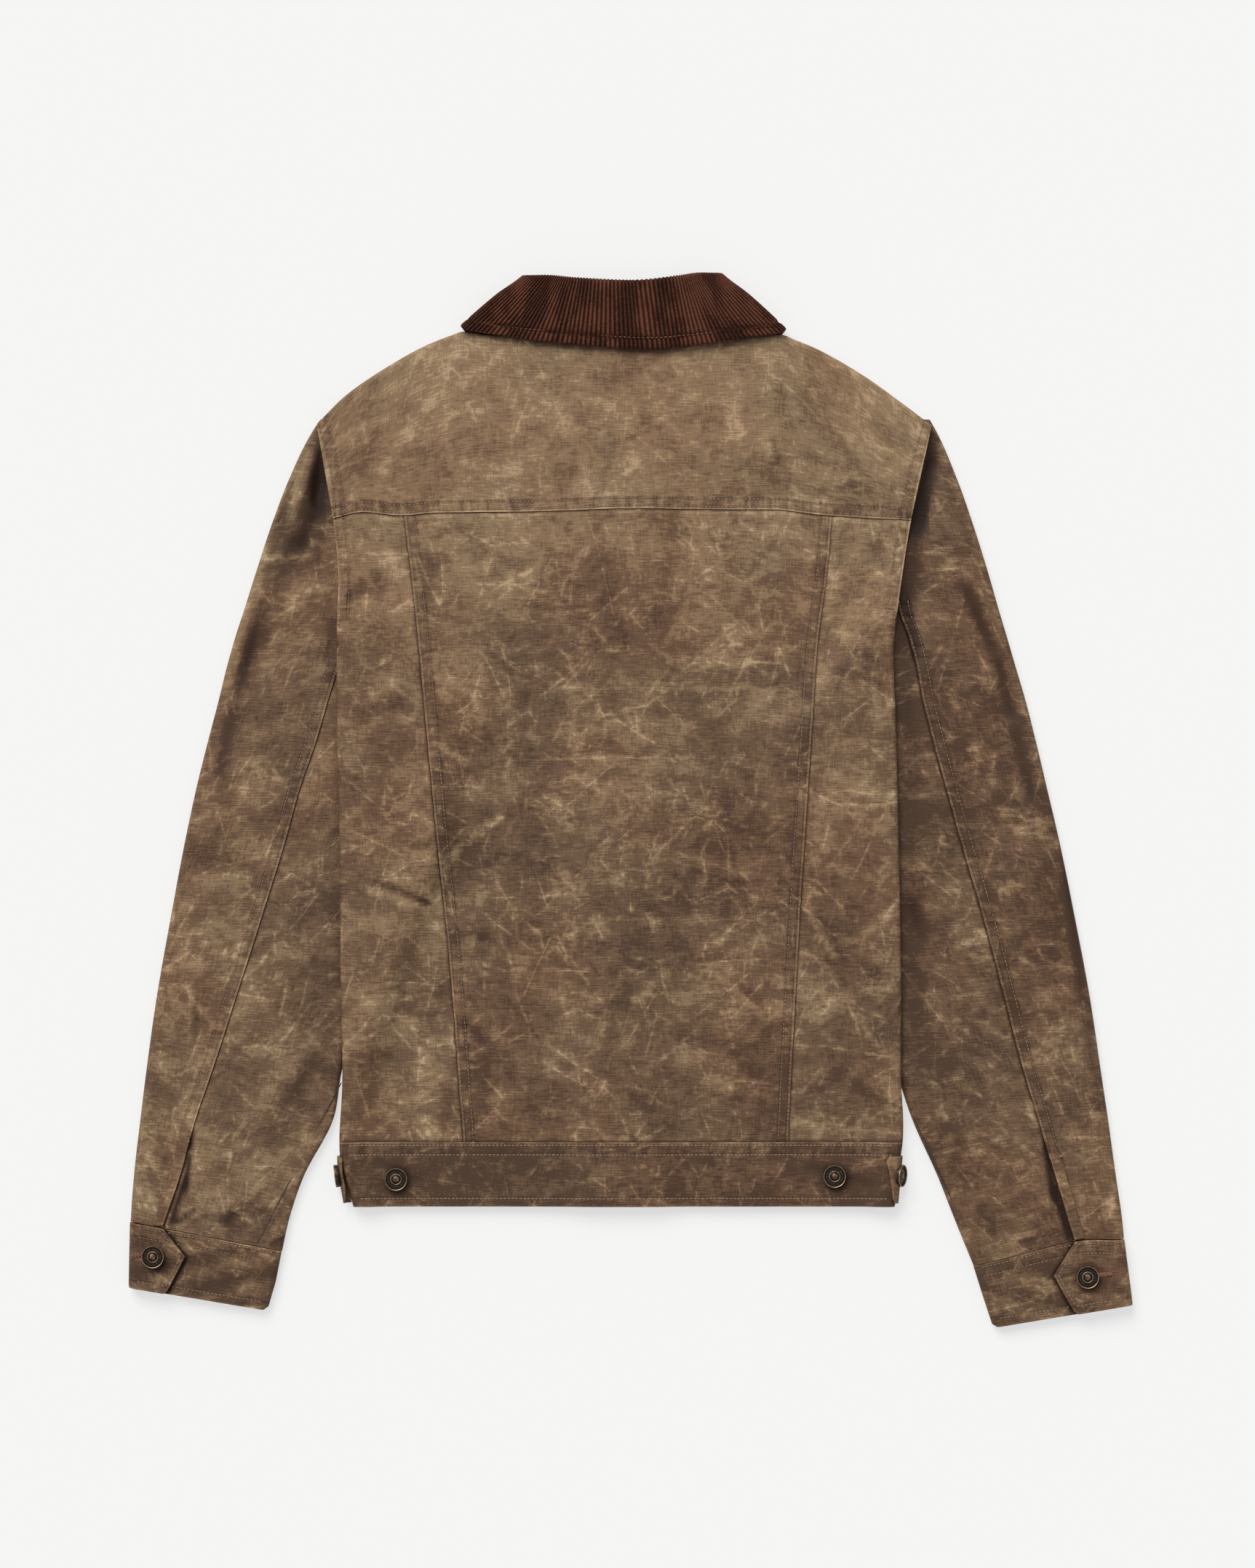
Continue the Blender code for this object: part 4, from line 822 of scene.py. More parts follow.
warm = ranged(wax, noise(wax, placed(wax, here, shift=(7, 7, 0)), 9.0, 4.0)["Fac"], 0.35, 0.65)
link_all(wax, wax_out, {"Light": light, "Lines": plus(wax, lines, halos, 1.5), "Warm": warm})
print(len(LAYERS), "layers of clouds,", len(CRACKS), "sets of cracks and", len(BENDS), "of bends")

# %% The weave: long uneven threads both ways
weave, weave_in, weave_out = effect("slub_weave", {"Cloth": "Vector"}, {"Threads": "Float"})
cloth_at = weave_in.outputs["Cloth"]
picks = noise(weave, placed(weave, cloth_at, scale=(0.09, 1.0, 1.0)), 900.0, 3.0, 0.6)["Fac"]
ends = noise(weave, placed(weave, cloth_at, scale=(1.0, 0.09, 1.0)), 900.0, 3.0, 0.6)["Fac"]
threads = plus(weave, math_node(weave, "MULTIPLY", picks, 0.62), ends, 0.38)
link_all(weave, weave_out, {"Threads": ranged(weave, threads, 0.32, 0.68)})
print("weave:", len(weave.nodes), "nodes")


# %% The canvas material
def group(tree, content, inputs):
    """A node group with its inputs linked."""
    made = tree.nodes.new("ShaderNodeGroup")
    made.node_tree = content
    link_all(tree, made, inputs)
    return made.outputs


def ramp(tree, value, stops):
    """A colour ramp with (place, colour) stops."""
    made = node(tree, "ValToRGB", {"Fac": value})
    made.color_ramp.interpolation = "EASE"
    elements = made.color_ramp.elements
    while len(elements) < len(stops):
        elements.new(0.5)
    for element, (place, colour) in zip(elements, stops):
        element.position = place
        element.color = (*colour, 1.0)
    return made.outputs["Color"]


def mixed(tree, blend, share, a, b):
    """Colour b mixed into, or multiplied with, colour a. A mix node keeps its colours in sockets 6, 7 and 2."""
    return node(tree, "Mix", {0: share, 6: a, 7: b}, data_type="RGBA", blend_type=blend).outputs[2]


BROWNS = (
    (0.00, (0.070, 0.0385, 0.0215)),
    (0.28, (0.130, 0.0765, 0.0430)),
    (0.60, (0.232, 0.154, 0.0865)),
    (1.00, (0.420, 0.305, 0.185)),
)
REDDER = (1.03, 0.955, 0.94, 1.0)
# Painted shade in the deepest folds keeps this much of red, green and blue
DEEPEST = (0.22, 0.155, 0.11)  # how much of red, green and blue is left in the deepest folds


def canvas_material(name):
    """Cracked wax over a slub weave, lighter where it is worn, darker where painted shade is held in the same values.
    """
    made, tree, shader = new_material(name, {"Specular IOR Level": 0.20})
    uv, worn = cloth_values(tree)
    cracked = group(tree, wax, {"Cloth": uv})
    thread = group(tree, weave, {"Cloth": uv})["Threads"]
    value = plus(tree, math_node(tree, "MULTIPLY", cracked["Light"], 0.84), worn)
    fewer = ranged(tree, worn, 0.02, 0.24, 0.23, 0.11)  # the palest cloth is evenly worn
    value = plus(tree, value, cracked["Lines"], fewer)
    value = plus(tree, value, ranged(tree, thread, 0.0, 1.0, -0.12, 0.12))
    colour = ramp(tree, value, BROWNS)
    colour = mixed(tree, "MIX", cracked["Warm"], colour, mixed(tree, "MULTIPLY", 1.0, colour, REDDER))
    # Painted shade: values below -0.15 multiply the colour down towards DEEPEST
    dark = {k: ranged(tree, worn, -0.80, -0.15, low, 1.0) for k, low in enumerate(DEEPEST)}
    colour = mixed(tree, "MULTIPLY", 1.0, colour, node(tree, "CombineColor", dark).outputs[0])
    link_all(tree, shader, {"Base Color": colour, "Roughness": ranged(tree, value, 0.1, 0.9, 0.60, 0.82)})
    raised = plus(tree, math_node(tree, "MULTIPLY", thread, 0.25), cracked["Lines"], 0.18)
    bumped(tree, shader, plus(tree, raised, cracked["Light"], 0.25), 0.0010, 0.6)
    return made


CANVAS = canvas_material("waxed_canvas")
print("canvas:", len(wax.nodes), "nodes of wax and", len(weave.nodes), "of weave")

# %% [markdown]
# ## The corduroy, the thread and the metal
#
# Corduroy is cut pile: it looks dark into the pile and lighter along the tops of its wales, which its colour
# holds as painted light and shade, and it has the soft rim of light that Blender calls sheen. The buttons are
# brass with a dark patina that is rubbed off the rim.


# %% Corduroy
CORD_BROWNS = ((0.08, (0.0045, 0.0016, 0.0010)), (0.5, (0.042, 0.0130, 0.0070)), (1.0, (0.150, 0.054, 0.031)))
CORD_LOOK = {
    "Roughness": 0.95,
    "Specular IOR Level": 0.1,
    "Sheen Weight": 0.25,
    "Sheen Roughness": 0.5,
    "Sheen Tint": (0.42, 0.20, 0.13, 1.0),
}


def corduroy_material():
    """Brown pile, with painted light on the crests and painted shade between the wales, and streaks along each wale.
    """
    made, tree, shader = new_material("corduroy", CORD_LOOK)
    uv, crest = cloth_values(tree)
    drawn = placed(tree, uv, scale=(1.0, 0.45, 1.0))
    tuft = noise(tree, drawn, 1500.0, 3.0, 0.7)["Fac"]
    nap = ranged(tree, noise(tree, drawn, 34.0, 4.0, 0.65)["Fac"], 0.38, 0.64)
    value = plus(tree, math_node(tree, "MULTIPLY", crest, 0.66), nap, 0.36)
    value = plus(tree, value, ranged(tree, tuft, 0.3, 0.7, -0.20, 0.22))
    link_all(tree, shader, {"Base Color": ramp(tree, value, CORD_BROWNS)})
    bumped(tree, shader, tuft, 0.0007, 0.6)
    return made


CORD_CLOTH = corduroy_material()
print("corduroy:", len(CORD_CLOTH.node_tree.nodes), "nodes")


# %% Thread and brass
BRASS_BROWNS = ((0.12, (0.016, 0.010, 0.007)), (0.5, (0.105, 0.066, 0.040)), (0.95, (0.40, 0.29, 0.18)))


def thread_material(name, dark, light):
    """Twisted thread: two tones along it."""
    made, tree, shader = new_material(name, {"Roughness": 0.7})
    twist = noise(tree, node(tree, "TexCoord").outputs["Object"], 700.0, 2.0)["Fac"]
    link_all(tree, shader, {"Base Color": ramp(tree, twist, ((0.35, dark), (0.65, light)))})
    bumped(tree, shader, twist, 0.0003, 0.5)
    return made


def brass_material():
    """Brass under a dark patina: the patina stays in the recess and wears off what stands proud."""
    made, tree, shader = new_material("antique_brass", {})
    proud = node(tree, "Attribute", attribute_name="worn").outputs["Fac"]
    blotch = noise(tree, node(tree, "TexCoord").outputs["Object"], 420.0, 4.0, 0.6)["Fac"]
    bare = plus(tree, proud, ranged(tree, blotch, 0.3, 0.7, -0.22, 0.18))
    look = {
        "Base Color": ramp(tree, bare, BRASS_BROWNS),
        "Metallic": ranged(tree, bare, 0.1, 0.9, 0.6, 1.0),
        "Roughness": ranged(tree, blotch, 0.3, 0.7, 0.40, 0.58),
    }
    link_all(tree, shader, look)
    bumped(tree, shader, blotch, 0.0002, 0.4)
    return made


TAN_THREAD = thread_material("tan_thread", (0.17, 0.105, 0.062), (0.30, 0.20, 0.12))
PALE_THREAD = thread_material("pale_thread", (0.22, 0.145, 0.088), (0.40, 0.285, 0.18))
RUST_THREAD = thread_material("rust_thread", (0.14, 0.055, 0.032), (0.26, 0.12, 0.07))
# Not a thread: a dark strip of painted shade along the sleeves' inseams, in the thread's material
SEAM_SHADOW = thread_material("painted_seam_shadow", (0.022, 0.012, 0.008), (0.040, 0.023, 0.014))
BRASS = brass_material()
print("four threads and brass of", len(BRASS.node_tree.nodes), "nodes")

# %% [markdown]
# ## Felled seams
#
# A work jacket's seams are felled: one panel's edge is turned under, laid over its neighbour and sewn down twice,
# once close to the edge and once about 8 mm in. That doubled strip stands a little proud, the stitches pull it
# into grooves, and it puckers between them. One function gives that shape from the distance to the edge.

# %% The seam's cross-section
SEAM_RISE = 0.45
ROWS = (1.4, 7.8)  # distances of the two stitch rows from the edge
GROOVES = ((0.26, 0.7), (0.34, 0.8))  # how deep each row pulls in, and over what width
# The puckers' height and the strength of their painted light and shade; the worn edge's paleness, and for each row
# its painted shade: how dark, width, distance.
PUCKER, PUCKER_SHADING = 0.22, 0.24
PALE_EDGE, ROW_SHADE = 0.28, ((0.26, 0.9, ROWS[1]), (0.16, 0.7, ROWS[0] + 0.4))  # dark, width, distance
TICK_LENGTHS = (3.1, 4.3, 6.1, 9.7)


def ticks(s):
    """Short puckers along a seam: four sine waves of unlike lengths, between -1 and 1."""
    return sum(np.sin(2 * math.pi * s / size + size) for size in TICK_LENGTHS) / len(TICK_LENGTHS)


def felled(d, s):
    """Height over the panel at distance d in from the edge: a raised strip, two grooves, and puckers along s."""
    d = np.maximum(d, 0.0)
    strip = SEAM_RISE * before(d, ROWS[1] + 0.5, 2.0)
    grooves = sum(deep * bell(d - at, width) for at, (deep, width) in zip(ROWS, GROOVES))
    between = after(d, 0.0, 1.5) * before(d, ROWS[1], 3.0)
    return strip - grooves + PUCKER * ticks(s) * between


def felled_wear_and_shade(d, s):
    """Pale along the turned edge, which is worn, painted light and shade of the puckers between the rows, and painted
    shade in their grooves.
    """
    d = np.maximum(d, 0.0)
    edge = PALE_EDGE * bell(d - 0.2, 0.8)
    between = after(d, 0.0, 1.5) * before(d, ROWS[1] + 1.0, 2.0)
    grooves = sum(dark * bell(d - at, width) for dark, width, at in ROW_SHADE)
    return edge + (PUCKER_SHADING * ticks(s + 3.0) - 0.06) * between - grooves


def dropped(d, depth=0.8, width=2.5):
    """The neighbour dips under the turned edge: depth at its own edge, nothing after width."""
    return -depth * before(d, 0.0, width)


# %% [markdown]
# ## The back
#
# The yoke laps over the three back panels, and the centre panel laps over the side panels. Each panel is a grid
# from seam to seam. Its columns are close together beside the seams, where the small shapes are, and wider
# between them. The side panels go on round the jacket's side in a half circle and a little way under it.

# %% Heights and wear of the back's panels
ARMHOLE_END_Y, ARMHOLE_EASE = 122.0, 14.0
YOKE_LAP = 1.4  # how far the yoke's edge laps over its seam, and below how far the panels end short of it
UNDER_LAP = 0.6


def armhole(x, y, seam=felled):
    """The armholes' turned edges: the seam's height, or wear, in from each side edge above the armpits."""
    above = after(y, ARMHOLE_END_Y, ARMHOLE_EASE)
    return sum(seam(SIGN[s] * (edge_of(s, y) - x), y) for s in SIGN) * above


def centre_z(x, y):
    """The centre panel: felled over both side panels, and dipping under the yoke."""
    seams = felled(x - seam_of("left", y), y) + felled(seam_of("right", y) - x, y)
    return back_top(x, y) + seams + dropped(yoke_seam(x) - UNDER_LAP - y)


def side_z(side, x, y):
    """A side panel: its armhole, and dips under the centre panel and the yoke."""
    seam = SIGN[side] * (x - seam_of(side, y))
    return back_top(x, y) + armhole(x, y) + dropped(seam, 0.25, 2.0) + dropped(yoke_seam(x) - UNDER_LAP - y)


def yoke_z(x, y):
    """The yoke: its armholes, and felled over the panels below it."""
    return back_top(x, y) + armhole(x, y) + felled(y - yoke_seam(x) + YOKE_LAP, x)


TONE_Y = (-257.0, -100.0, 60.0, 150.0, 205.0, 230.0, 300.0)
TONE = (-0.08, -0.06, -0.01, 0.07, 0.11, 0.22, 0.24)


COLLAR_EDGE = ((-128.0, -55.0, 13.0, 72.0, 117.0), (355.6, 344.7, 339.2, 346.3, 354.0))


def crease_wear_and_shade(x, y):
    """Wear and painted shade from the creases: ridges rub pale, and troughs get painted shade."""
    return 0.20 * np.clip(ridges(CREASES, x, y, 1.5), -1.2, 1.0)


def tone(x, y):
    """Lighter towards the top, the yoke most and the lower back least, with the creases' wear and painted shade, the
    painted shades, a painted shadow under the collar and a darker line along the waist seam.
    """
    below_collar = np.maximum(np.interp(x, *COLLAR_EDGE) - y, 0.0)
    shadow = -0.50 * bell(below_collar, 3.4) * after(-np.abs(x + 5.0), -128.0, 9.0)
    hem = -0.34 * bell(y - WAIST_SEAM_Y, 1.2)
    return np.interp(y, TONE_Y, TONE) + crease_wear_and_shade(x, y) + ridges(SHADES["body"], x, y) + shadow + hem


def shadow_under_yoke(x, y):
    """On the back panels, close under the yoke's edge: a painted shadow in the seam, then a painted highlight where
    the cloth bends.
    """
    d = yoke_seam(x) - YOKE_LAP - y
    return -0.62 * bell(d, 1.0) + 0.20 * bell(d - 2.8, 1.1)


def body_wear_and_shade(x, y, *seams):
    """The tone, the armholes, and each felled seam given as distances from its edge and along it: their wear and
    painted shade together.
    """
    return tone(x, y) + armhole(x, y, felled_wear_and_shade) + sum(felled_wear_and_shade(d, s) for d, s in seams)


# %% The centre panel
across = spaced(270.0, 11.0, 0.9, 2.8)[None, :]
down = spaced(470.0, 5.0, 0.9, 2.8)[:, None]
y = lerp(yoke_seam(lerp(-170.0, 152.0, across)) - UNDER_LAP, WAIST_SEAM_Y, down)
left, right = seam_of("left", y) + SEAM_GAP / 2, seam_of("right", y) - SEAM_GAP / 2
x = lerp(left, right, across)
y = lerp(yoke_seam(x) - UNDER_LAP, WAIST_SEAM_Y, down + 0 * across)
z = centre_z(x, y)
worn = body_wear_and_shade(x, y, (x - left, y), (right - x, y)) + shadow_under_yoke(x, y)
BOTH_FRONTS = ["front_left", "front_right"]
cloth("back_centre", stack(x, y, z), stack(x, y, z - CLOTH), CANVAS, worn, rests_on=BOTH_FRONTS)

# %% The side panels
SIDE_TURN = math.pi * BODY_THICK / 2
SIDE_MARGIN = 8.0
ROLL_STEPS = 12


def side_shares(y):
    """How far the side's fold has turned at this level, and how much of the cloth under the body is there."""
    return np.clip((142.0 - y) / 15.0, 0.0, 1.0), smoothstep((127.0 - y) / 43.0)


def wrap_end(y):
    """How far in from the side's edge its cloth ends underneath."""
    turn, wrap = side_shares(y)
    return turn * (BODY_THICK / 2 + 4.0) + wrap * WRAP


def side_panel(side):
    """Along each level the distance s runs from the back seam over the top, round a half circle and in below."""
    sign = SIGN[side]
    level = lerp(BACK_TOP_Y, 142.0, spaced(BACK_TOP_Y - 142.0, 4.0, 0.9, 2.6))
    level = np.concatenate([level, np.arange(141.0, 126.0, -1.0)])
    level = np.concatenate([level, np.linspace(126.0, WAIST_SEAM_Y, 138)])[:, None]
    turn, wrap = side_shares(level)
    edge = edge_of(side, level)
    seam = seam_of(side, level) + sign * SEAM_GAP / 2
    middle = edge - sign * BODY_THICK / 2 * turn
    low = lift(edge, level)
    half = (side_z(side, edge, level) - low) / 2
    length = np.abs(middle - seam)
    roll = np.arange(1, ROLL_STEPS + 1) / ROLL_STEPS
    tail = np.linspace(0.0, 1.0, 8)[1:]
    far = (WRAP * wrap + 4.0) * tail
    rolled = length + np.concatenate([0 * turn, SIDE_TURN * roll + 0 * turn, SIDE_TURN + far], axis=1)
    steps = rolled.shape[1]
    flat = length - SIDE_MARGIN + SIDE_MARGIN * np.arange(1, steps + 1) / steps
    top = spaced(60.0, 9.0, 0.9, 2.6)[None, :] * (length - SIDE_MARGIN)
    s = np.concatenate([top, lerp(flat, rolled, turn)], axis=1)
    x = seam + sign * np.minimum(s, length)
    y = level + (yoke_seam(x) - UNDER_LAP - BACK_TOP_Y) * np.clip(1.0 - (BACK_TOP_Y - level) / 25.0, 0.0, 1.0)
    over_top = stack(x, y, side_z(side, x, y))
    under_top = over_top - (0, 0, CLOTH)
    angle = np.clip(math.pi * (s - length) / SIDE_TURN, 0.0, math.pi)
    out, up = np.sin(angle) * BODY_THICK / 2 * turn, np.cos(angle) * half
    thin_out, thin_up = 1 - CLOTH / (BODY_THICK / 2), 1 - CLOTH / half
    over_roll = stack(middle + sign * out, level, low + half + up)
    under_roll = stack(middle + sign * out * thin_out, level, low + half + up * thin_up)
    x_low = middle - sign * np.maximum(s - length - SIDE_TURN, 0.0)
    z_low = lift(x_low, level)
    over_low, under_low = stack(x_low, level, z_low), stack(x_low, level, z_low + CLOTH)
    on_top, on_roll = (s <= length)[..., None], (s <= length + SIDE_TURN)[..., None]
    outer = np.where(on_top, over_top, np.where(on_roll, over_roll, over_low))
    inner = np.where(on_top, under_top, np.where(on_roll, under_roll, under_low))
    place = outer[..., 0], outer[..., 1]
    # Painted shadow along the side panel's seam, under the centre panel's lapped edge
    worn = body_wear_and_shade(*place) - 0.36 * bell(s, 1.0) + 0.07 + shadow_under_yoke(*place) * on_top[..., 0]
    cloth("back_side_" + side, outer, inner, CANVAS, worn, rests_on=["front_" + side])


for side in SIGN:
    side_panel(side)

# %% The yoke
knots = np.linspace(0.0, 1.0, len(YOKE["wrap"]))
across = spaced(462.0, 11.0, 0.9, 2.7)
low_x, top_x, top_y = (hermite(knots, YOKE[c], across)[None, :] for c in ("low_x", "top_x", "top_y"))
more = np.interp(across, knots, YOKE["wrap"])[None, :]
radius = BODY_THICK / 2
fold_y = top_y - radius
down = np.concatenate([np.arange(0.0, 12.0, 0.9), np.linspace(12.0, 130.0, 44)])[:, None] / 130.0
x, y = lerp(low_x, top_x, down), lerp(yoke_seam(low_x) - YOKE_LAP, fold_y, down)
z = yoke_z(x, y)
thin = lerp(1.1, CLOTH, after(y - yoke_seam(x), 1.0 - YOKE_LAP, 5.0))
over, under = stack(x, y, z), stack(x, y, z - thin)
top = yoke_z(top_x, fold_y)
half = lerp(4.3, top - lift(top_x, top_y), smoothstep(more / 5.0)) / 2
angle = np.radians(np.arange(15.0, 181.0, 15.0))[:, None]
out, up = np.sin(angle) * radius, np.cos(angle) * half
over_fold = stack(top_x, fold_y + out, top - half + up)
under_fold = stack(top_x, fold_y + out * (1 - CLOTH / radius), top - half + up * (1 - CLOTH / half))
part = np.linspace(0.0, 1.0, 5)[1:, None]
over_low = stack(top_x, fold_y - more * part, top - 2 * half)
outer = np.concatenate([over, over_fold, over_low])
inner = np.concatenate([under, under_fold, over_low + (0, 0, CLOTH)])
x, y = outer[..., 0], outer[..., 1]
d = y - yoke_seam(x) + YOKE_LAP
worn = body_wear_and_shade(x, y, (d, x)) + 0.3 * felled_wear_and_shade(d, x)
cloth("back_yoke", outer, inner, CANVAS, worn, rests_on=BOTH_FRONTS)

# %% [markdown]
# ## The fronts
#
# They lie under the back, against the table, so they are finished plainly: two panels, the placket and the six
# buttons that it is closed with. From above they show only as the thickness of the sides.


# %% Fronts and placket
def front_outer(side, y):
    """Beside the sleeve's lower layer above the armpit, and at the side seam below it."""
    beside = np.abs(edge_of(side, y) - along(SLEEVE[side], "inner", np.maximum(y, 131.0))) + 2 * SEAM_GAP
    return edge_of(side, y) - SIGN[side] * np.maximum(beside, wrap_end(y) + SEAM_GAP)


def front(side):
    """From the shoulder seam and neck curve down to the waist, flat on what it lies on."""
    sign = SIGN[side]
    across = np.linspace(0.0, 1.0, 41)
    middle = CENTRE_X + sign * (PLACKET_HALF + SEAM_GAP)
    shoulder = (YOKE["wrap"] > HIDDEN_WRAP) | (np.abs(YOKE["top_x"]) > 220.0)
    chosen = shoulder & (np.sign(YOKE["top_x"]) == sign)
    seam_x = YOKE["top_x"][chosen]
    seam_y = (YOKE["top_y"] - BODY_THICK / 2 - YOKE["wrap"])[chosen] - 4 * SEAM_GAP
    top_end = float(front_outer(side, seam_y[0 if sign < 0 else -1]))
    top_x = lerp(middle, top_end, across)
    shoulder_y = np.interp(top_x, seam_x, seam_y)
    from_middle = np.clip((top_x - middle) / (CENTRE_X + sign * 110.0 - middle), 0, 1)
    top_y = np.minimum(lerp(283.0, float(np.max(seam_y)), from_middle**2), shoulder_y)
    upper = lerp(top_y[None, :], BACK_TOP_Y, np.linspace(0.0, 1.0, 16)[:-1, None])
    y = np.vstack([upper, np.linspace(BACK_TOP_Y, WAIST_SEAM_Y, 110)[:, None] + 0.0 * across])
    x = lerp(middle, front_outer(side, y), across[None, :])
    z = lift(x, y)
    cloth("front_" + side, stack(x, y, z), stack(x, y, z + CLOTH), CANVAS, 0 * z - 0.02)


for side in SIGN:
    front(side)
y = np.linspace(283.0, WAIST_SEAM_Y, 120)[:, None]
x = CENTRE_X + np.linspace(-PLACKET_HALF, PLACKET_HALF, 15)[None, :]
z = lift(x, y + 0 * x)
cloth("front_placket", stack(x, y, z), stack(x, y, z + DOUBLED), CANVAS)

# %% [markdown]
# ## The waistband and its side tabs
#
# The band is a folded double strip, stiffer than the rest. It goes round both sides in a half circle. A short
# pointed tab comes round from the front on each side, and its button stands on edge just outside the waist.


# %% The band
def band_side(side, y, out, thickness, low_steps, top_steps, turns):
    """One side of the band, this far out from its face: under the body, a half circle, then over the back."""
    sign = SIGN[side]
    edge = edge_of(side, y)
    radius = WAIST_THICK / 2
    floor = lift(edge, y)
    x_low, x_top = edge - sign * low_steps, edge - sign * top_steps
    z_low, z_top = lift(x_low, y), lift(x_top, y) + WAIST_THICK
    angle = np.radians(np.linspace(-90, 90, turns))[None, :]
    faces = []
    for r, low, high in ((radius + out, -out, out), (radius + out - thickness, thickness - out, out - thickness)):
        curve_x = edge - sign * radius + sign * r * np.cos(angle)
        curve = stack(curve_x, y, floor + radius + r * np.sin(angle))
        faces.append(np.concatenate([stack(x_low, y, z_low + low), curve, stack(x_top, y, z_top + high)], axis=1))
    return faces


BAND_ROWS = (WAIST_SEAM_Y - 2.6, WAIST_SEAM_Y - 9.8, HEM_Y + 6.2)
WAIST_BUTTONS = ((-176.2, -285.5), (154.0, -283.3))


def row_bells(place, rows, width=0.9):
    """A bell at each row."""
    return sum(bell(place - row, width) for row in rows)


def band_relief(x, y):
    """The band's own stitch grooves and the slight waves between them."""
    rows = row_bells(y, BAND_ROWS)
    soft = 0.6 * ridges(CREASES, x, y) + 0.8 * unevenness(x, y)
    return -0.3 * rows + 0.20 * ticks(0.8 * x) * smoothstep((WAIST_SEAM_Y - y) / 3.0) + soft


def round_button(x, y, x0, y0):
    """The cloth close round a button is dark, most on the side away from the light."""
    far = np.hypot(x - x0 - 1.5, y - y0 + 2.2)
    return np.exp(-((far / 10.8) ** 4))


y = lerp(WAIST_SEAM_Y - SEAM_GAP, HEM_Y, np.linspace(0.0, 1.0, 50))[:, None]
low_steps = np.linspace(WRAP, 10.0, 14)[None, :]
top_steps = np.concatenate([np.linspace(10.0, 60.0, 20), np.linspace(63.0, 204.0, 50)])[None, :]
halves = [band_side(side, y, 0.0, DOUBLED, low_steps, top_steps, 13) for side in SIGN]
outer, inner = (np.concatenate([halves[0][k], halves[1][k][:, ::-1]], axis=1) for k in (0, 1))
on_top = smoothstep((outer[..., 2] - lift(outer[..., 0], outer[..., 1]) - WAIST_THICK + 0.3) / 0.3)
relief = band_relief(outer[..., 0], outer[..., 1]) * on_top
outer[..., 2] += relief
inner[..., 2] += relief
edges = 0.62 * bell(y - WAIST_SEAM_Y, 1.3) + 0.16 * bell(y - HEM_Y, 1.2)
x = outer[..., 0]
# Painted shade in the stitch grooves, painted light and shade of the puckers under the top seam, the creases' wear
# and painted shade, and painted shadows round the buttons
worn = edges - 0.10 * row_bells(y, BAND_ROWS) + 0.20 * ticks(x) * after(y, HEM_Y + 36.0, 4.0) - 0.24
worn = worn + 0.16 * np.maximum(ridges(CREASES, x, y, 1.3), -1.2)
worn = worn - 0.42 * sum(round_button(x, outer[..., 1], *at) for at in WAIST_BUTTONS)
cloth("waistband_back", outer, inner, CANVAS, worn, rests_on=["waistband_front_left"])


def band_front(side):
    """The band's plain front half, from the middle to where the back's end begins."""
    sign = SIGN[side]
    y = np.linspace(WAIST_SEAM_Y - SEAM_GAP, HEM_Y, 26)[:, None]
    start, end = CENTRE_X + sign * SEAM_GAP / 2, edge_of(side, y) - sign * (WRAP + SEAM_GAP)
    x = lerp(start, end, np.linspace(0.0, 1.0, 50)[None, :])
    z = lift(x, y + 0 * x)
    cloth("waistband_front_" + side, stack(x, y, z), stack(x, y, z + DOUBLED), CANVAS, 0 * z - 0.08)


TAB_AWAY = {"left": (0.3, 5.0), "right": (-0.4, 0.6)}  # how far its upper and its lower end stand away
TAB_ENDS = {  # levels, and how many degrees round the side the strap comes there
    "left": ((-303.5, -300.0, -290.0, -280.0, -270.0, -268.0), (20.0, 48.0, 66.0, 60.0, 70.0, 40.0)),
    "right": ((-303.5, -300.0, -290.0, -280.0, -271.0, -268.0), (50.0, 80.0, 98.0, 122.0, 150.0, 128.0)),
}
TAB_OUT, TAB_WALL = 1.7, 1.3


def tab(side):
    """The strap stands on edge round the side, so the angle to which it comes gives its wavy outline from above."""
    sign = SIGN[side]
    y = np.linspace(TAB_TOP_Y, TAB_LOW_Y, 36)[:, None]
    part = (TAB_TOP_Y - y) / (TAB_TOP_Y - TAB_LOW_Y)
    edge = edge_of(side, y) + sign * lerp(*TAB_AWAY[side], part)
    radius = WAIST_THICK / 2
    end = np.interp(y, *TAB_ENDS[side])
    angle = np.radians(lerp(-90.0, end, np.linspace(0.0, 1.0, 26)[None, :]))
    floor = lift(edge_of(side, y), y)
    beyond = np.maximum(angle - math.pi / 2, 0.0)  # past the top it goes on flat over the band
    angle = np.minimum(angle, math.pi / 2)
    grids = []
    for r in (radius + TAB_OUT, radius + TAB_OUT - TAB_WALL):
        x = edge - sign * radius + sign * (r * np.cos(angle) - (radius + TAB_OUT) * beyond)
        grids.append(stack(x, y, floor + radius + TAB_OUT + r * np.sin(angle)))
    shown = np.linspace(0.0, 1.0, 26)[None, :]  # from the strap's hidden edge to the one that shows
    rim = 0.20 * bell(1.0 - shown, 0.05) + 0.16 * bell(np.abs(part - 0.5) - 0.5, 0.04)
    cloth("waist_tab_" + side, *grids, CANVAS, rim + 0.02, rests_on=["waistband_back"])


for side in SIGN:
    band_front(side)
for side in SIGN:
    tab(side)

# %% [markdown]
# ## The sleeves
#
# Each sleeve is cut in two: a top sleeve that goes round the outer edge, and an under sleeve that goes round the
# inner one. Laid flat, a cut across it is a long flat loop. So a section is a distance along that loop, and the
# sections follow each other down the arm, turning at the end to the slope of the cuff.

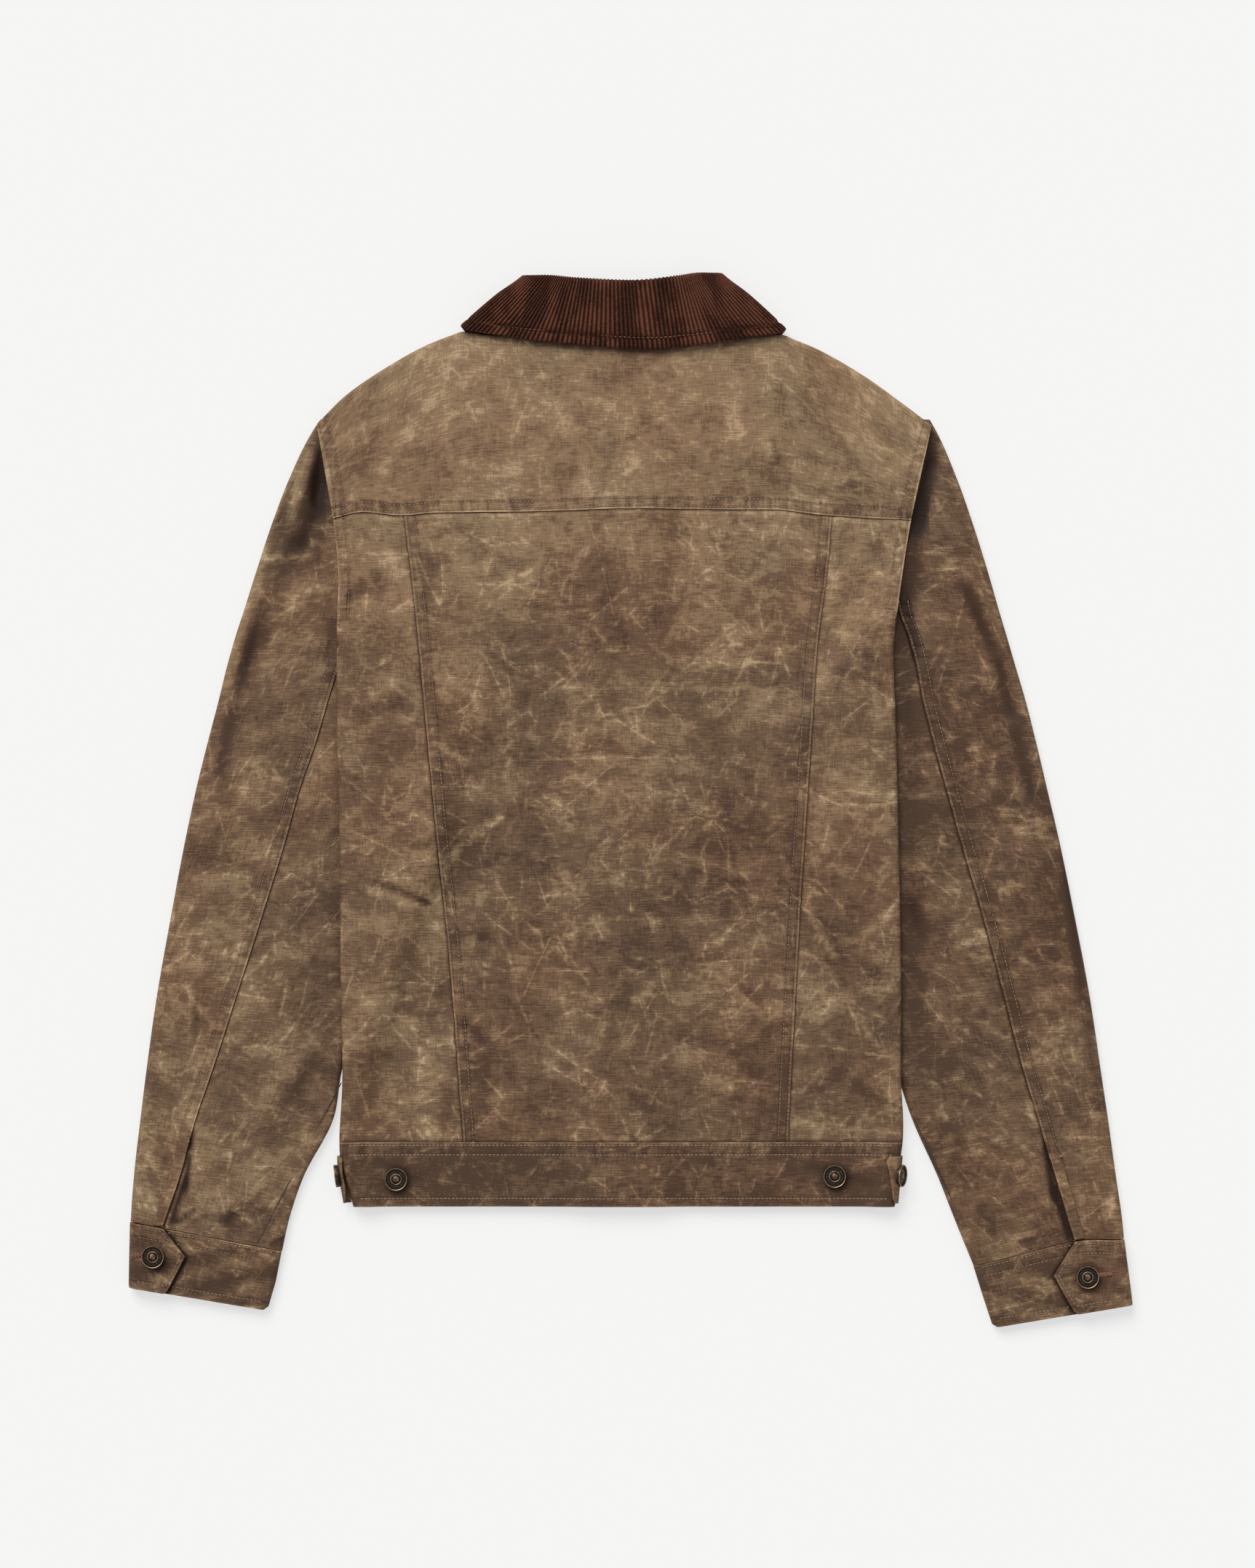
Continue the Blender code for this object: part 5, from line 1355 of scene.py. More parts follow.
# %% Sections of a sleeve
BOW, BOW_FROM_X, BOW_LENGTH, BOW_LINE = 5.2, 378.0, 118.0, (-331.6, -351.0)
BOW_UP, BOW_DOWN, BOW_CUFF, BOW_ARM = 0.34, 0.66, 46.0, 80.0  # parts of its length, then millimetres


def bowed(points):
    """The right sleeve's end and cuff bow up a little towards the arm, most a third of the way in."""
    x, y = points[..., 0], points[..., 1]
    u = np.clip((BOW_FROM_X - x) / BOW_LENGTH, 0.0, 1.0)
    d = y - lerp(*BOW_LINE, u)
    bump = after(u, 0.0, BOW_UP) * before(u, BOW_UP, BOW_DOWN)
    near = after(d, -BOW_CUFF, BOW_CUFF) * before(d, 0.0, BOW_ARM) * (x > 200.0)
    return points + stack(0 * x, BOW * bump * near, 0 * x)


SLEEVE_TOP_Y = 287.0
SLEEVE_RUN = 600.0  # millimetres of seam down the whole arm
INSEAM = {"left": ((-217.5, -280.8), (-213.0, -334.0)), "right": ((214.0, 263.2), (-240.0, -346.0))}
SLEEVE_END = {"left": (-317.6, -339.8), "right": (-331.0, -350.6)}
UNDER_TOP_Y = {"left": 118.0, "right": 146.0}


def sleeve_frames(side, part):
    """Outer end, direction inwards and length of the cut at each part of the arm, from 0 at the head to 1."""
    end_outer, end_inner = SLEEVE_END[side]
    outer_y = lerp(SLEEVE_TOP_Y, end_outer, part)
    inner_y = outer_y + (end_inner - end_outer) * after(part, 0.45, 0.55)
    start = np.stack([along(SLEEVE[side], "outer", outer_y), outer_y], axis=-1)
    stop = np.stack([along(SLEEVE[side], "inner", inner_y), inner_y], axis=-1)
    length = np.linalg.norm(stop - start, axis=-1)
    seam_x = along(SLEEVE[side], "seam", lerp(start[:, 1], stop[:, 1], 0.3))
    seam = np.abs(seam_x - start[:, 0]) * length / np.abs(stop[:, 0] - start[:, 0])
    return start, (stop - start) / length[:, None], length, seam


def at_distance(start, run, a):
    """Points at distances a along each cut, from its outer end inwards."""
    return start[:, None, :] + run[:, None, :] * a[..., None]


def sleeve_radius(part):
    """Half the sleeve's thickness, less at the head."""
    return np.minimum(SLEEVE_THICK, 5.0 + 30.0 * part) / 2


def sleeve_face(side, start, run, a, radius, turn_at, relief):
    """Points of the sleeve's top at distances a: round at its turned edge, with its folds further in."""
    place = at_distance(start, run, a)
    eased = smoothstep(np.abs(a - turn_at) / 14.0)
    return with_z(place, lerp(2 * radius, sleeve_top(side, place[..., 0], place[..., 1]), eased) + relief)


def sleeve_loop(side, part, top, low, at_inner, relief):
    """Outer and inner grids: over the top at distances `top`, round one edge, and back below at `low`."""
    start, run, length, _ = sleeve_frames(side, part)
    radius = sleeve_radius(part)[:, None]
    turn_at = length[:, None] - radius if at_inner else radius
    way = 1.0 if at_inner else -1.0
    over_top = sleeve_face(side, start, run, top, radius, turn_at, relief)
    angle = np.radians(np.arange(15.0, 180.0, 15.0))[None, :]
    roll, roll_in = (
        with_z(at_distance(start, run, turn_at + way * np.sin(angle) * r), radius + np.cos(angle) * r)
        for r in (radius, radius - CLOTH)
    )
    over_low = with_z(at_distance(start, run, low), np.zeros(low.shape))
    outer = np.concatenate([over_top, roll, over_low], axis=1)
    inner = np.concatenate([over_top - (0, 0, CLOTH), roll_in, over_low + (0, 0, CLOTH)], axis=1)
    return bowed(outer), bowed(inner)


# The right sleeve's lower value and the darkening in towards the body are painted shade
SLEEVE_TONE = {"left": (0.04, 0.16), "right": (-0.12, 0.07)}  # down the arm, and what the shoulder has more


def sleeve_tone(side, x, y):
    """Painted shade makes the right sleeve the darker one and both darker in towards the body; lighter towards the
    shoulder; with the creases' wear and painted shade and the painted shades.
    """
    inward = smoothstep((60.0 - SIGN[side] * (x - edge_of(side, y))) / 60.0)
    low, more = SLEEVE_TONE[side]
    base = low + more * after(y, 20.0, 170.0)
    return base - 0.08 * inward + crease_wear_and_shade(x, y) + ridges(SHADES["sleeve"], x, y)


def sleeve_wear_and_shade(side, outer, seam_wear_and_shade):
    """The tone over the whole loop, and the seam's own wear and painted shade on its first columns."""
    worn = sleeve_tone(side, outer[..., 0], outer[..., 1])
    worn[:, : seam_wear_and_shade.shape[1]] += seam_wear_and_shade
    return worn


# %% Top sleeves
PARTS = np.concatenate([np.linspace(0.0, 0.985, 212), np.linspace(0.985, 1.0, 9)[1:]])


def sleeve_upper(side):
    """From the back seam, which laps over the under sleeve, out round the outer edge to the seam below."""
    start, run, length, seam = sleeve_frames(side, PARTS)
    radius = sleeve_radius(PARTS)
    lap = np.minimum(seam - SEAM_GAP / 2, length)
    room = (lap - radius)[:, None]
    fine = np.minimum(1.0, room / 24.0) * np.arange(0.0, 12.1, 0.9)[None, :]
    rest = lerp(fine[:, -1:], room, np.linspace(0.0, 1.0, 34)[None, 1:])
    d = np.concatenate([fine, rest], axis=1)
    s = SLEEVE_RUN * PARTS[:, None]
    shown = after(room, 14.0, 12.0) * smoothstep((0.9 - PARTS[:, None]) / 0.01)
    shown = shown * smoothstep((SLEEVE_SEAM_TOP[side] + 8.0 - (start + run * lap[:, None])[:, 1:]) / 10.0)
    top = lap[:, None] - d
    low = lerp(radius[:, None], lap[:, None], np.linspace(0.0, 1.0, 24)[None, :])
    outer, inner = sleeve_loop(side, PARTS, top, low, False, felled(d, s) * shown)
    cloth("sleeve_top_" + side, outer, inner, CANVAS, sleeve_wear_and_shade(side, outer, felled_wear_and_shade(d, s) * shown))


for side in SIGN:
    sleeve_upper(side)


# %% Under sleeves
def sleeve_lower(side):
    """From the back seam, under the top sleeve's edge, in round the inner edge to the seam below."""
    first = (SLEEVE_TOP_Y - UNDER_TOP_Y[side]) / (SLEEVE_TOP_Y - SLEEVE_END[side][0])
    part = PARTS[PARTS > first]
    _, _, length, seam = sleeve_frames(side, part)
    radius = sleeve_radius(part)
    lap, turn_at = (seam + SEAM_GAP / 2)[:, None], (length - radius)[:, None]
    d = np.concatenate([np.arange(0.0, 5.0, 0.9), np.linspace(5.0, 100.0, 36)])[None, :] / 100.0 * (turn_at - lap)
    low = lerp(turn_at, lap, np.linspace(0.0, 1.0, 24)[None, :])
    outer, inner = sleeve_loop(side, part, lap + d, low, True, dropped(d, 0.7, 2.2))
    # Painted shadow on the under sleeve along the top sleeve's lapped edge
    cloth("sleeve_under_" + side, outer, inner, CANVAS, sleeve_wear_and_shade(side, outer, -0.34 * bell(d, 1.2)))


for side in SIGN:
    sleeve_lower(side)


# %% The bound openings above the cuffs
STRIP_PARTS = (0.885, 0.998)  # from where to where along the seam
STRIP_WIDE, STRIP_THICK, STRIP_CROWN = 8.0, 1.4, 0.25


def sleeve_placket(side):
    """A bound strip along the seam, slightly crowned."""
    part = np.linspace(*STRIP_PARTS, 60)
    start, run, _, seam = sleeve_frames(side, part)
    across = np.linspace(0.0, 1.0, 11)[None, :]
    near = (seam - SEAM_GAP / 2)[:, None]
    place = at_distance(start, run, lerp(near - STRIP_WIDE, near - LAYER_GAP, across))
    x, y = place[..., 0], place[..., 1]
    low = sleeve_top(side, x, y) + LAYER_GAP
    crown = STRIP_CROWN * np.sqrt(1.0 - (2.0 * across - 1.0) ** 2)
    d = (1.0 - across) * 7.6
    worn = 0.3 * bell(d, 0.9) + 0.05 * ticks(SLEEVE_RUN * part)[:, None] + sleeve_tone(side, x, y)
    outer, inner = bowed(stack(x, y, low + STRIP_THICK + crown)), bowed(stack(x, y, low))
    cloth("sleeve_placket_" + side, outer, inner, CANVAS, worn, rests_on=["sleeve_top_" + side], turned=1.3)


for side in SIGN:
    sleeve_placket(side)

# %% [markdown]
# ## The cuffs
#
# A cuff is a double band round the wrist. Its end is cut to a point and laps over on top, held by a button, with
# a buttonhole sewn in rust thread. The lap stands 3 mm over the rest, so its point throws a thin shadow.

# %% The cuffs
CUFF_THICK = 8.6
CUFF_LAP = 16.0
LAP_TOP, UNDER_TOP = CUFF_THICK + DOUBLED + SEAM_GAP, CUFF_THICK - LAYER_GAP
CUFF_DEPTH = 50.0
CUFF_ROWS = (0.045, 0.19, 0.87)
CUFF_BUTTON = {"left": (-358.9, -343.6), "right": (344.1, -358.9)}
CUFF_DARK = {"left": 0.25, "right": 0.14}
BUTTONHOLE = {"left": ((-375.5, -343.6), (-364.0, -341.4)), "right": ((351.0, -359.6), (362.8, -357.4))}
POINT = {  # where the lap's end is along the cuff: parts from the seam to the hem, and distances from the outer edge
    "left": ((0.0, 0.36, 0.94, 1.0), (26.0, 43.0, 30.0, 27.0)),
    "right": ((0.0, 0.42, 0.94, 1.0), (38.0, 57.0, 45.0, 42.0)),
}


def cuff_frames(side, part):
    """Outer end, direction inwards, length and reach of the point at each part, from 0 at the seam to 1."""
    level, *columns = CUFF[side].values()
    corners = np.stack([np.interp(part, level, column) for column in columns], axis=-1)
    start, stop = corners[..., :2], corners[..., 2:]
    length = np.linalg.norm(stop - start, axis=-1)
    return start, (stop - start) / length[:, None], length, np.interp(part, *POINT[side])


def cuff_relief(part, s):
    """Grooves along the seam end and the hem, and a gentle puckering."""
    rows = row_bells(part, CUFF_ROWS, 0.9 / CUFF_DEPTH)
    return -0.28 * rows + 0.18 * ticks(s) * (part < 0.2) + 0.10 * ticks(0.37 * s + 9.0 * part)


def cuff(side):
    """Out from under the lap, round the inner edge, under the wrist, round the outer edge, and over as the lap."""
    part = np.unique(np.concatenate([np.linspace(0.0, 1.0, 52), [POINT[side][0][1], 0.94]]))
    start, run, length, reach = cuff_frames(side, part)
    length, reach = length[:, None], reach[:, None]
    low_radius, high_radius = UNDER_TOP / 2, LAP_TOP / 2
    turns = np.radians(np.linspace(0, 180, 13))[None, :]
    out, up = np.sin(turns), np.cos(turns)
    inner_turn = length - low_radius
    one = np.ones_like(length)
    close = np.concatenate([[-CUFF_LAP, -8.0, -2.0], np.arange(0.0, 6.1, 0.75), [8.0, 11.0]])[None, :]
    a1 = np.concatenate([reach + close, lerp(reach + 11.0, inner_turn, np.linspace(0, 1, 28)[None, 1:-1])], axis=1)
    a3 = lerp(inner_turn, high_radius, np.linspace(0, 1, 30)[None, 1:-1])
    a5 = lerp(high_radius * one, reach, np.linspace(0, 1, 26)[None, 1:])
    a = np.concatenate([a1, inner_turn + low_radius * out, a3, high_radius * (1 - out) * one, a5], axis=1)
    low_z, high_z = low_radius * (1 + up) * one, high_radius * (1 - up) * one
    z = np.concatenate([0 * a1 + UNDER_TOP, low_z, 0 * a3, high_z, 0 * a5 + LAP_TOP], axis=1)
    in_a = np.concatenate([0 * a1, -out * one, 0 * a3, out * one, 0 * a5], axis=1) * DOUBLED
    in_z = np.concatenate([0 * a1 - 1, -up * one, 0 * a3 + 1, up * one, 0 * a5 - 1], axis=1) * DOUBLED
    upward = in_z < -0.9 * DOUBLED
    relief = cuff_relief(part[:, None], a) * upward
    xy, part = at_distance(start, run, a), part[:, None]
    outer = with_z(xy, z + relief)
    inner = with_z(at_distance(start, run, a + in_a), z + relief + in_z)
    rim = 0.40 * bell(part * CUFF_DEPTH, 1.2) + 0.16 * bell((1 - part) * CUFF_DEPTH, 1.2)
    # Painted light on the puckers by the seam, lightest where they stand up, and painted shade in the stitch grooves
    mottle = 0.12 * ticks(a) * (part < 0.2) + 0.10 * np.sin(a / 9.0 + 14.0 * part)
    rows = row_bells(part, CUFF_ROWS, 1.0 / CUFF_DEPTH)
    worn = rim + mottle - 0.14 * rows - CUFF_DARK[side]
    worn[:, -a5.shape[1] :] += 0.22 * bell(reach - a5, 1.2)
    # Painted shadow of the lap's pointed end on the layer under it
    worn[:, : a1.shape[1]] -= 0.55 * bell(np.maximum(a1 - reach, 0.0), 3.0)
    worn -= 0.38 * round_button(xy[..., 0], xy[..., 1], *CUFF_BUTTON[side]) * upward
    cloth("cuff_" + side, bowed(outer), bowed(inner), CANVAS, worn, rests_on=["cuff_button_" + side])


for side in SIGN:
    cuff(side)

# %% [markdown]
# ## The collar
#
# It folds over at the neck: an outer leaf with the fold, and an inner one below. Wide-wale corduroy has a rib
# every 3.5 mm. Each wale here is half a round, raised along the leaf's own normal and pressed flatter where the
# stitching runs, eight columns to a wale.

# %% The collar's columns
WALES = 68
SIDE_WALES = 8
WALE_RISE = 1.1
WALE_COLUMNS = 8
COLLAR_FOLD_RADIUS = 3.3
COLLAR_PARTS = ((0, 3), (4, 10), (11, 14))  # left under, top, right under
COLLAR_STITCH = 8.2
SIDE_BULGE = (2.4, 4.2)  # how far the half turn at each end of the collar stands out, at the fold and at the edge


def collar_lines():
    """Stations along the collar and the table's values at each, smooth within its three parts."""
    edge_x = COLLAR["edge_x"][4:11]
    top = np.interp(np.linspace(edge_x[0], edge_x[-1], WALE_COLUMNS * WALES + 1), edge_x, np.arange(4.0, 11.0))
    side = np.linspace(3.0, 4.0, WALE_COLUMNS * SIDE_WALES + 1)[:-1]
    half = np.concatenate([np.linspace(0.0, 3.0, 60)[:-1], side])
    at = np.concatenate([half, top, 14.0 - half[::-1]])
    knots = np.arange(15.0)
    lines = {}
    for name, values in COLLAR.items():
        line = np.interp(at, knots, values)
        for first, last in COLLAR_PARTS if name != "turn" else ():
            span = slice(first, last + 1)
            inside = (at >= first) & (at <= last)
            line[inside] = hermite(knots[span], values[span], at)[inside]
        lines[name] = line
    return at, lines


def collar_fall():
    """Rows go up the leaf from its edge and round the fold, columns along the collar over each wale."""
    at, p = collar_lines()
    fold = np.stack([p["fold_x"], p["fold_y"], p["fold_z"]], axis=-1)
    edge = np.stack([p["edge_x"], p["edge_y"], p["edge_z"]], axis=-1)
    way = (fold - edge)[:, :2]
    leaf = np.linalg.norm(way, axis=-1, keepdims=True)
    way = way / leaf
    lean = np.where(at < 7, 1.0, -1.0)[:, None]
    outward = np.concatenate([-way[:, 1:] * lean, way[:, :1] * lean, np.zeros((len(at), 1))], axis=1)
    turn = np.radians(p["turn"])[:, None]
    normal = np.array([0.0, 0.0, 1.0]) * np.cos(turn) + outward * np.sin(turn)
    rolling = ((at > 3) & (at < 4)) | ((at > 10) & (at < 11))
    heights = np.stack([COLLAR["fold_z"], COLLAR["edge_z"]], axis=-1)
    high = np.where((at < 7)[:, None], heights[4], heights[10])
    for points, k in ((fold, 0), (edge, 1)):
        r = high[:, k : k + 1] / 2
        moved = points * (1, 1, 0) + (0, 0, 1) * r * (1 + np.cos(turn)) + outward * SIDE_BULGE[k] * np.sin(turn)
        points[rolling] = moved[rolling]
    first = int(np.searchsorted(at, 4.0))
    phase = ((np.arange(len(at)) - first) % WALE_COLUMNS) / WALE_COLUMNS * 2.0 - 1.0
    ribbed = ((at >= 3.0) & (at <= 11.0)) * 1.0
    crest = np.cos(phase * math.pi / 2) ** 0.8 * ribbed
    up = np.concatenate([way, np.zeros((len(at), 1))], axis=1)
    t = np.concatenate([[0.0, 0.012, 0.03, 0.055], np.linspace(0.085, 1.0, 24)])[:, None, None]
    from_edge = t[..., 0] * leaf[:, 0]
    pressed = 1.0 - 0.75 * bell(from_edge - COLLAR_STITCH, 0.9)
    rounded = np.sqrt(np.clip(from_edge / 1.6, 0.0, 1.0))
    swell = 0.7 * np.sin(math.pi * np.clip(t[..., 0], 0, 1)) * ribbed
    rise = crest * WALE_RISE * pressed * (0.35 + 0.65 * rounded) + swell - 0.25 * (1 - pressed) * ribbed
    ends = np.where(rolling, np.sin(turn[:, 0]), 0.0)[:, None]  # the fold is tighter round the collar's ends
    tight, thick = COLLAR_FOLD_RADIUS - 1.2 * ends, CORDUROY - 0.8 * ends
    centre = fold - normal * tight
    angle = np.radians(np.linspace(0.0, 150.0, 14)[1:])[:, None, None]
    away = normal * np.cos(angle) + up * np.sin(angle)
    kept = smoothstep((3.0 - np.abs(at - 7.0)) / 0.9)
    rib = (crest * WALE_RISE * kept)[None, :, None] * np.cos(angle / 2)
    over_fold = centre + away * (tight + rib)
    under = lerp(edge, fold, t) - normal * thick + normal * (swell * 0.5)[..., None]
    under_fold = centre + away * (tight - thick)
    blend = lerp(1.0, kept, after(t[..., 0], 0.6, 0.4))
    over = lerp(edge, fold, t) + normal * (rise * blend)[..., None]
    outer, inner = np.concatenate([over, over_fold]), np.concatenate([under, under_fold])
    # Painted light and shade of the wales: lightest on their crests, darker between them, along the pressed stitching
    # and round the fold; the patches are darker pile
    shown = np.where(ribbed > 0, (0.5 + 0.5 * np.cos(phase * math.pi)) ** 0.9, 0.5)
    height = np.concatenate([shown * pressed, shown * np.cos(angle[..., 0] / 2)])
    x, y = outer[..., 0], outer[..., 1]
    patch = 0.30 * bell(x - 25.0, 7.0) + 0.2 * bell(x - 80.0, 16.0) * bell(y - 352.0, 10.0)
    cloth("collar_fall", outer, inner, CORD_CLOTH, height - patch * ribbed, "corduroy", rests_on=["collar_stand"])
    return over, at


collar_leaf, collar_at = collar_fall()

# %% The collar's inner leaf
at = np.linspace(4.6, 9.4, 150)
knots = np.arange(15.0)
fold_x, fold_y, fold_z = (np.interp(at, knots, COLLAR[c]) for c in ("fold_x", "fold_y", "fold_z"))
neck_y = hermite(YOKE["top_x"][6:11], YOKE["top_y"][6:11], fold_x) - TUCK / 2
part = np.linspace(0.0, 1.0, 16)[None, :]
y = lerp((fold_y - 1.0)[:, None], neck_y[:, None], part)
x = fold_x[:, None] + 0 * part
high = (fold_z - 2 * COLLAR_FOLD_RADIUS - LAYER_GAP)[:, None]
low = lift(x[:, -1:], neck_y[:, None]) + BODY_THICK + LAYER_GAP + CLOTH
z = lerp(high, low, part)
cloth("collar_stand", stack(x, y, z), stack(x, y, z - CLOTH), CORD_CLOTH, 0.4 + 0 * z, "corduroy")

# %% [markdown]
# ## The buttons
#
# A tack button is turned on a lathe, so it is one profile swept round: a domed stud, a little ring, a sunk dark
# band, a raised rim rubbed bright, and the edge below. A ring of plain dots stands in the sunk band.

# %% The profile and the dots
TACK = table(
    "r h worn",
    (0.6, 3.30, 0.55), (1.7, 3.20, 0.62), (2.3, 2.90, 0.50), (2.5, 2.30, 0.00), (3.4, 2.10, -0.20),
    (3.6, 2.50, 0.50), (3.85, 2.72, 0.95), (4.15, 2.65, 0.85), (4.35, 2.15, 0.00), (7.4, 2.10, -0.20),
    (7.65, 2.80, 0.30), (7.9, 3.40, 1.00), (8.25, 3.50, 1.10), (8.48, 3.10, 0.80), (8.5, 2.60, 0.30),
    (8.3, 0.30, 0.10), (7.5, 0.00, 0.05),
)
PLAIN = table("r h worn", (4.0, 2.6, 0.5), (8.1, 2.6, 0.5), (8.5, 2.2, 0.6), (8.5, 0.6, 0.3), (7.9, 0.0, 0.2))
TURNS = 40
DOTS, DOT_AT = 22, 5.75


def round_angles(count):
    return np.linspace(0.0, 2 * math.pi, count, endpoint=False)


def turned(profile, steps):
    """The profile swept round the axis, closed by a flat face at each end: points, faces and wear."""
    angle = round_angles(steps)
    r, h = profile["r"][:, None], profile["h"][:, None]
    points = stack(r * np.cos(angle), r * np.sin(angle), h + 0 * angle).reshape(-1, 3)
    ring = np.arange(steps)
    low = np.arange(len(profile["r"]) - 1)[:, None] * steps
    next_ring = (ring + 1) % steps
    corners = (low + ring, low + steps + ring, low + steps + next_ring, low + next_ring)
    quads = np.stack(np.broadcast_arrays(*corners), -1)
    last = (len(profile["r"]) - 1) * steps
    faces = [*quads.reshape(-1, 4).tolist(), ring.tolist(), (last + ring[::-1]).tolist()]
    return points, faces, np.repeat(profile["worn"], steps)


def dots(count, radius, size, base, top):
    """Small six-sided pegs in a ring."""
    middle, corner = round_angles(count)[:, None, None], round_angles(6)[None, None, :]
    grown, height = np.array([1.0, 0.6])[None, :, None], np.array([base, top])[None, :, None]
    x = radius * np.cos(middle) + size * grown * np.cos(corner)
    y = radius * np.sin(middle) + size * grown * np.sin(corner)
    points = stack(x, y, height + 0 * x).reshape(-1, 3)
    k, next_k = np.arange(6), (np.arange(6) + 1) % 6
    side = np.stack([k, next_k, next_k + 6, k + 6], -1)
    first = np.arange(count)[:, None] * 12
    faces = [*(first[..., None] + side).reshape(-1, 4).tolist(), *(first + k + 6).tolist()]
    return points, faces, np.tile(np.repeat([0.1, 0.55], 6), count)


def button(node_name, place, tilt=0.0, yaw=0.0, profile=TACK):
    """A button at its place: the axis is tilted about Y, then turned about Z."""
    points, faces, worn = turned(profile, TURNS)
    if profile is TACK:
        more, more_faces, more_worn = dots(DOTS, DOT_AT, 0.55, 2.0, 2.55)
        faces = faces + [[k + len(points) for k in face] for face in more_faces]
        points, worn = np.concatenate([points, more]), np.concatenate([worn, more_worn])
    c, s = math.cos(tilt), math.sin(tilt)
    points = points @ np.array([[c, 0, s], [0, 1, 0], [-s, 0, c]]).T
    c, s = math.cos(yaw), math.sin(yaw)
    points = (points @ np.array([[c, -s, 0], [s, c, 0], [0, 0, 1]]).T + place) * MM
    mesh = bpy.data.meshes.new(node_name + "_turned")
    mesh.from_pydata(points.tolist(), [], faces)
    mesh.update()
    mesh.materials.append(BRASS)
    mesh.shade_smooth()
    mesh.set_sharp_from_angle(angle=math.radians(60.0))
    mesh.attributes.new("worn", "FLOAT", "POINT").data.foreach_set("value", worn.astype(np.float32))
    made = linked(node_name + "_turned", mesh)
    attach(made, "root")
    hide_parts(node_name)
    return made


def seat(node_name):
    """Where a button's solid stands: the middle of its box, at its foot, in millimetres."""
    low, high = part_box(node_name)
    return np.array([(low[0] + high[0]) / 2, (low[1] + high[1]) / 2, low[2]]) / MM


# %% All twelve buttons
TAB_BUTTON = {"left": (88.0, 3.4), "right": (66.0, 0.4)}  # degrees that its face leans out, and how far it is away
for side, sign in SIGN.items():
    button("waist_button_" + side, seat("waist_button_" + side), yaw=0.3)
    button("cuff_button_" + side, seat("cuff_button_" + side), yaw=0.7)
    y = lerp(TAB_TOP_Y, TAB_LOW_Y, 0.42)
    lean, away = TAB_BUTTON[side]
    place = np.array([edge_of(side, y) + sign * away, y, 8.5 + LAYER_GAP]) + SHIFT
    slope = (edge_of(side, TAB_LOW_Y) - edge_of(side, TAB_TOP_Y)) / (TAB_LOW_Y - TAB_TOP_Y)
    button("tab_button_" + side, place, sign * math.radians(lean), -math.atan(float(slope)) * 0.5)
for k in range(1, 7):
    button(f"front_button_{k}", seat(f"front_button_{k}"), profile=PLAIN)
print("12 buttons")

# %% [markdown]
# ## The stitches
#
# A lockstitch shows as a row of short threads with small gaps between them. Each one here is a little eight-sided
# grain laid along the seam, so a row is the same few points copied to every stitch's place and direction.

# %% Rows of stitches
STITCH = {"pitch": 3.0, "long": 2.3, "wide": 0.62, "high": 0.42}


def along_path(path, pitch=STITCH["pitch"], long=STITCH["long"]):
    """Middles and directions of stitches spaced evenly along a path of points."""
    step = np.linalg.norm(np.diff(path, axis=0), axis=1)
    s = np.concatenate([[0.0], np.cumsum(step)])
    at = np.arange(pitch / 2, s[-1], pitch)
    ends = [np.stack([np.interp(at + k * long / 2, s, path[:, c]) for c in range(3)], axis=-1) for k in (-1, 1)]
    return (ends[0] + ends[1]) / 2, ends[1] - ends[0]


def across_path(path, pitch, long):
    """Stitches that lie across a path, close together: a bar tack, or the edge of a buttonhole."""
    middles, ways = along_path(path, pitch, pitch)
    turned_way = np.stack([-ways[:, 1], ways[:, 0], 0 * ways[:, 2]], axis=-1)
    return middles, turned_way / np.linalg.norm(turned_way, axis=-1, keepdims=True) * long


def sew(name, rows, material, wide=STITCH["wide"], high=STITCH["high"]):
    """One object for many stitches. Each is four rings of four points, thinner at both ends."""
    middles, ways = (np.concatenate([row[k] for row in rows])[:, None, None, :] for k in (0, 1))
    side = np.stack([-ways[..., 1], ways[..., 0], 0 * ways[..., 2]], axis=-1)
    side = side / np.maximum(np.linalg.norm(side, axis=-1, keepdims=True), 1e-6)
    u, r = (np.array(v)[None, :, None, None] for v in ((-0.5, -0.32, 0.32, 0.5), (0.45, 1.0, 1.0, 0.45)))
    corner = round_angles(4)[None, None, :, None]
    up = np.array([0.0, 0.0, 1.0])
    points = middles + ways * u + side * (wide / 2 * r * np.cos(corner)) + up * (high / 2 * r * np.sin(corner))
    k, next_k, ring = np.arange(4), (np.arange(4) + 1) % 4, (np.arange(3) * 4)[:, None]
    sides = np.stack(np.broadcast_arrays(ring + k, ring + next_k, ring + 4 + next_k, ring + 4 + k), -1).reshape(-1, 4)
    grain = np.concatenate([sides, [[3, 2, 1, 0], [12, 13, 14, 15]]])
    faces = (np.arange(points.shape[0])[:, None, None] * 16 + grain).reshape(-1, 4)
    mesh_from(name, bowed(points.reshape(-1, 3)), faces, material, 80.0)
    print(f"{name}: {points.shape[0]} stitches")


SUNK = 0.05  # how far the middle of a stitch stands over the cloth


def row(x, y, z):
    """A row of stitches over points of the cloth."""
    return along_path(stack(x, y, z + SUNK))


def side_rows(line, distances, y, height):
    """Rows down both sides of the back, at distances in from a line."""
    places = [(side, line(side, y) - SIGN[side] * d) for side in SIGN for d in distances]
    return [row(x, y, height(side, x, y)) for side, x in places]


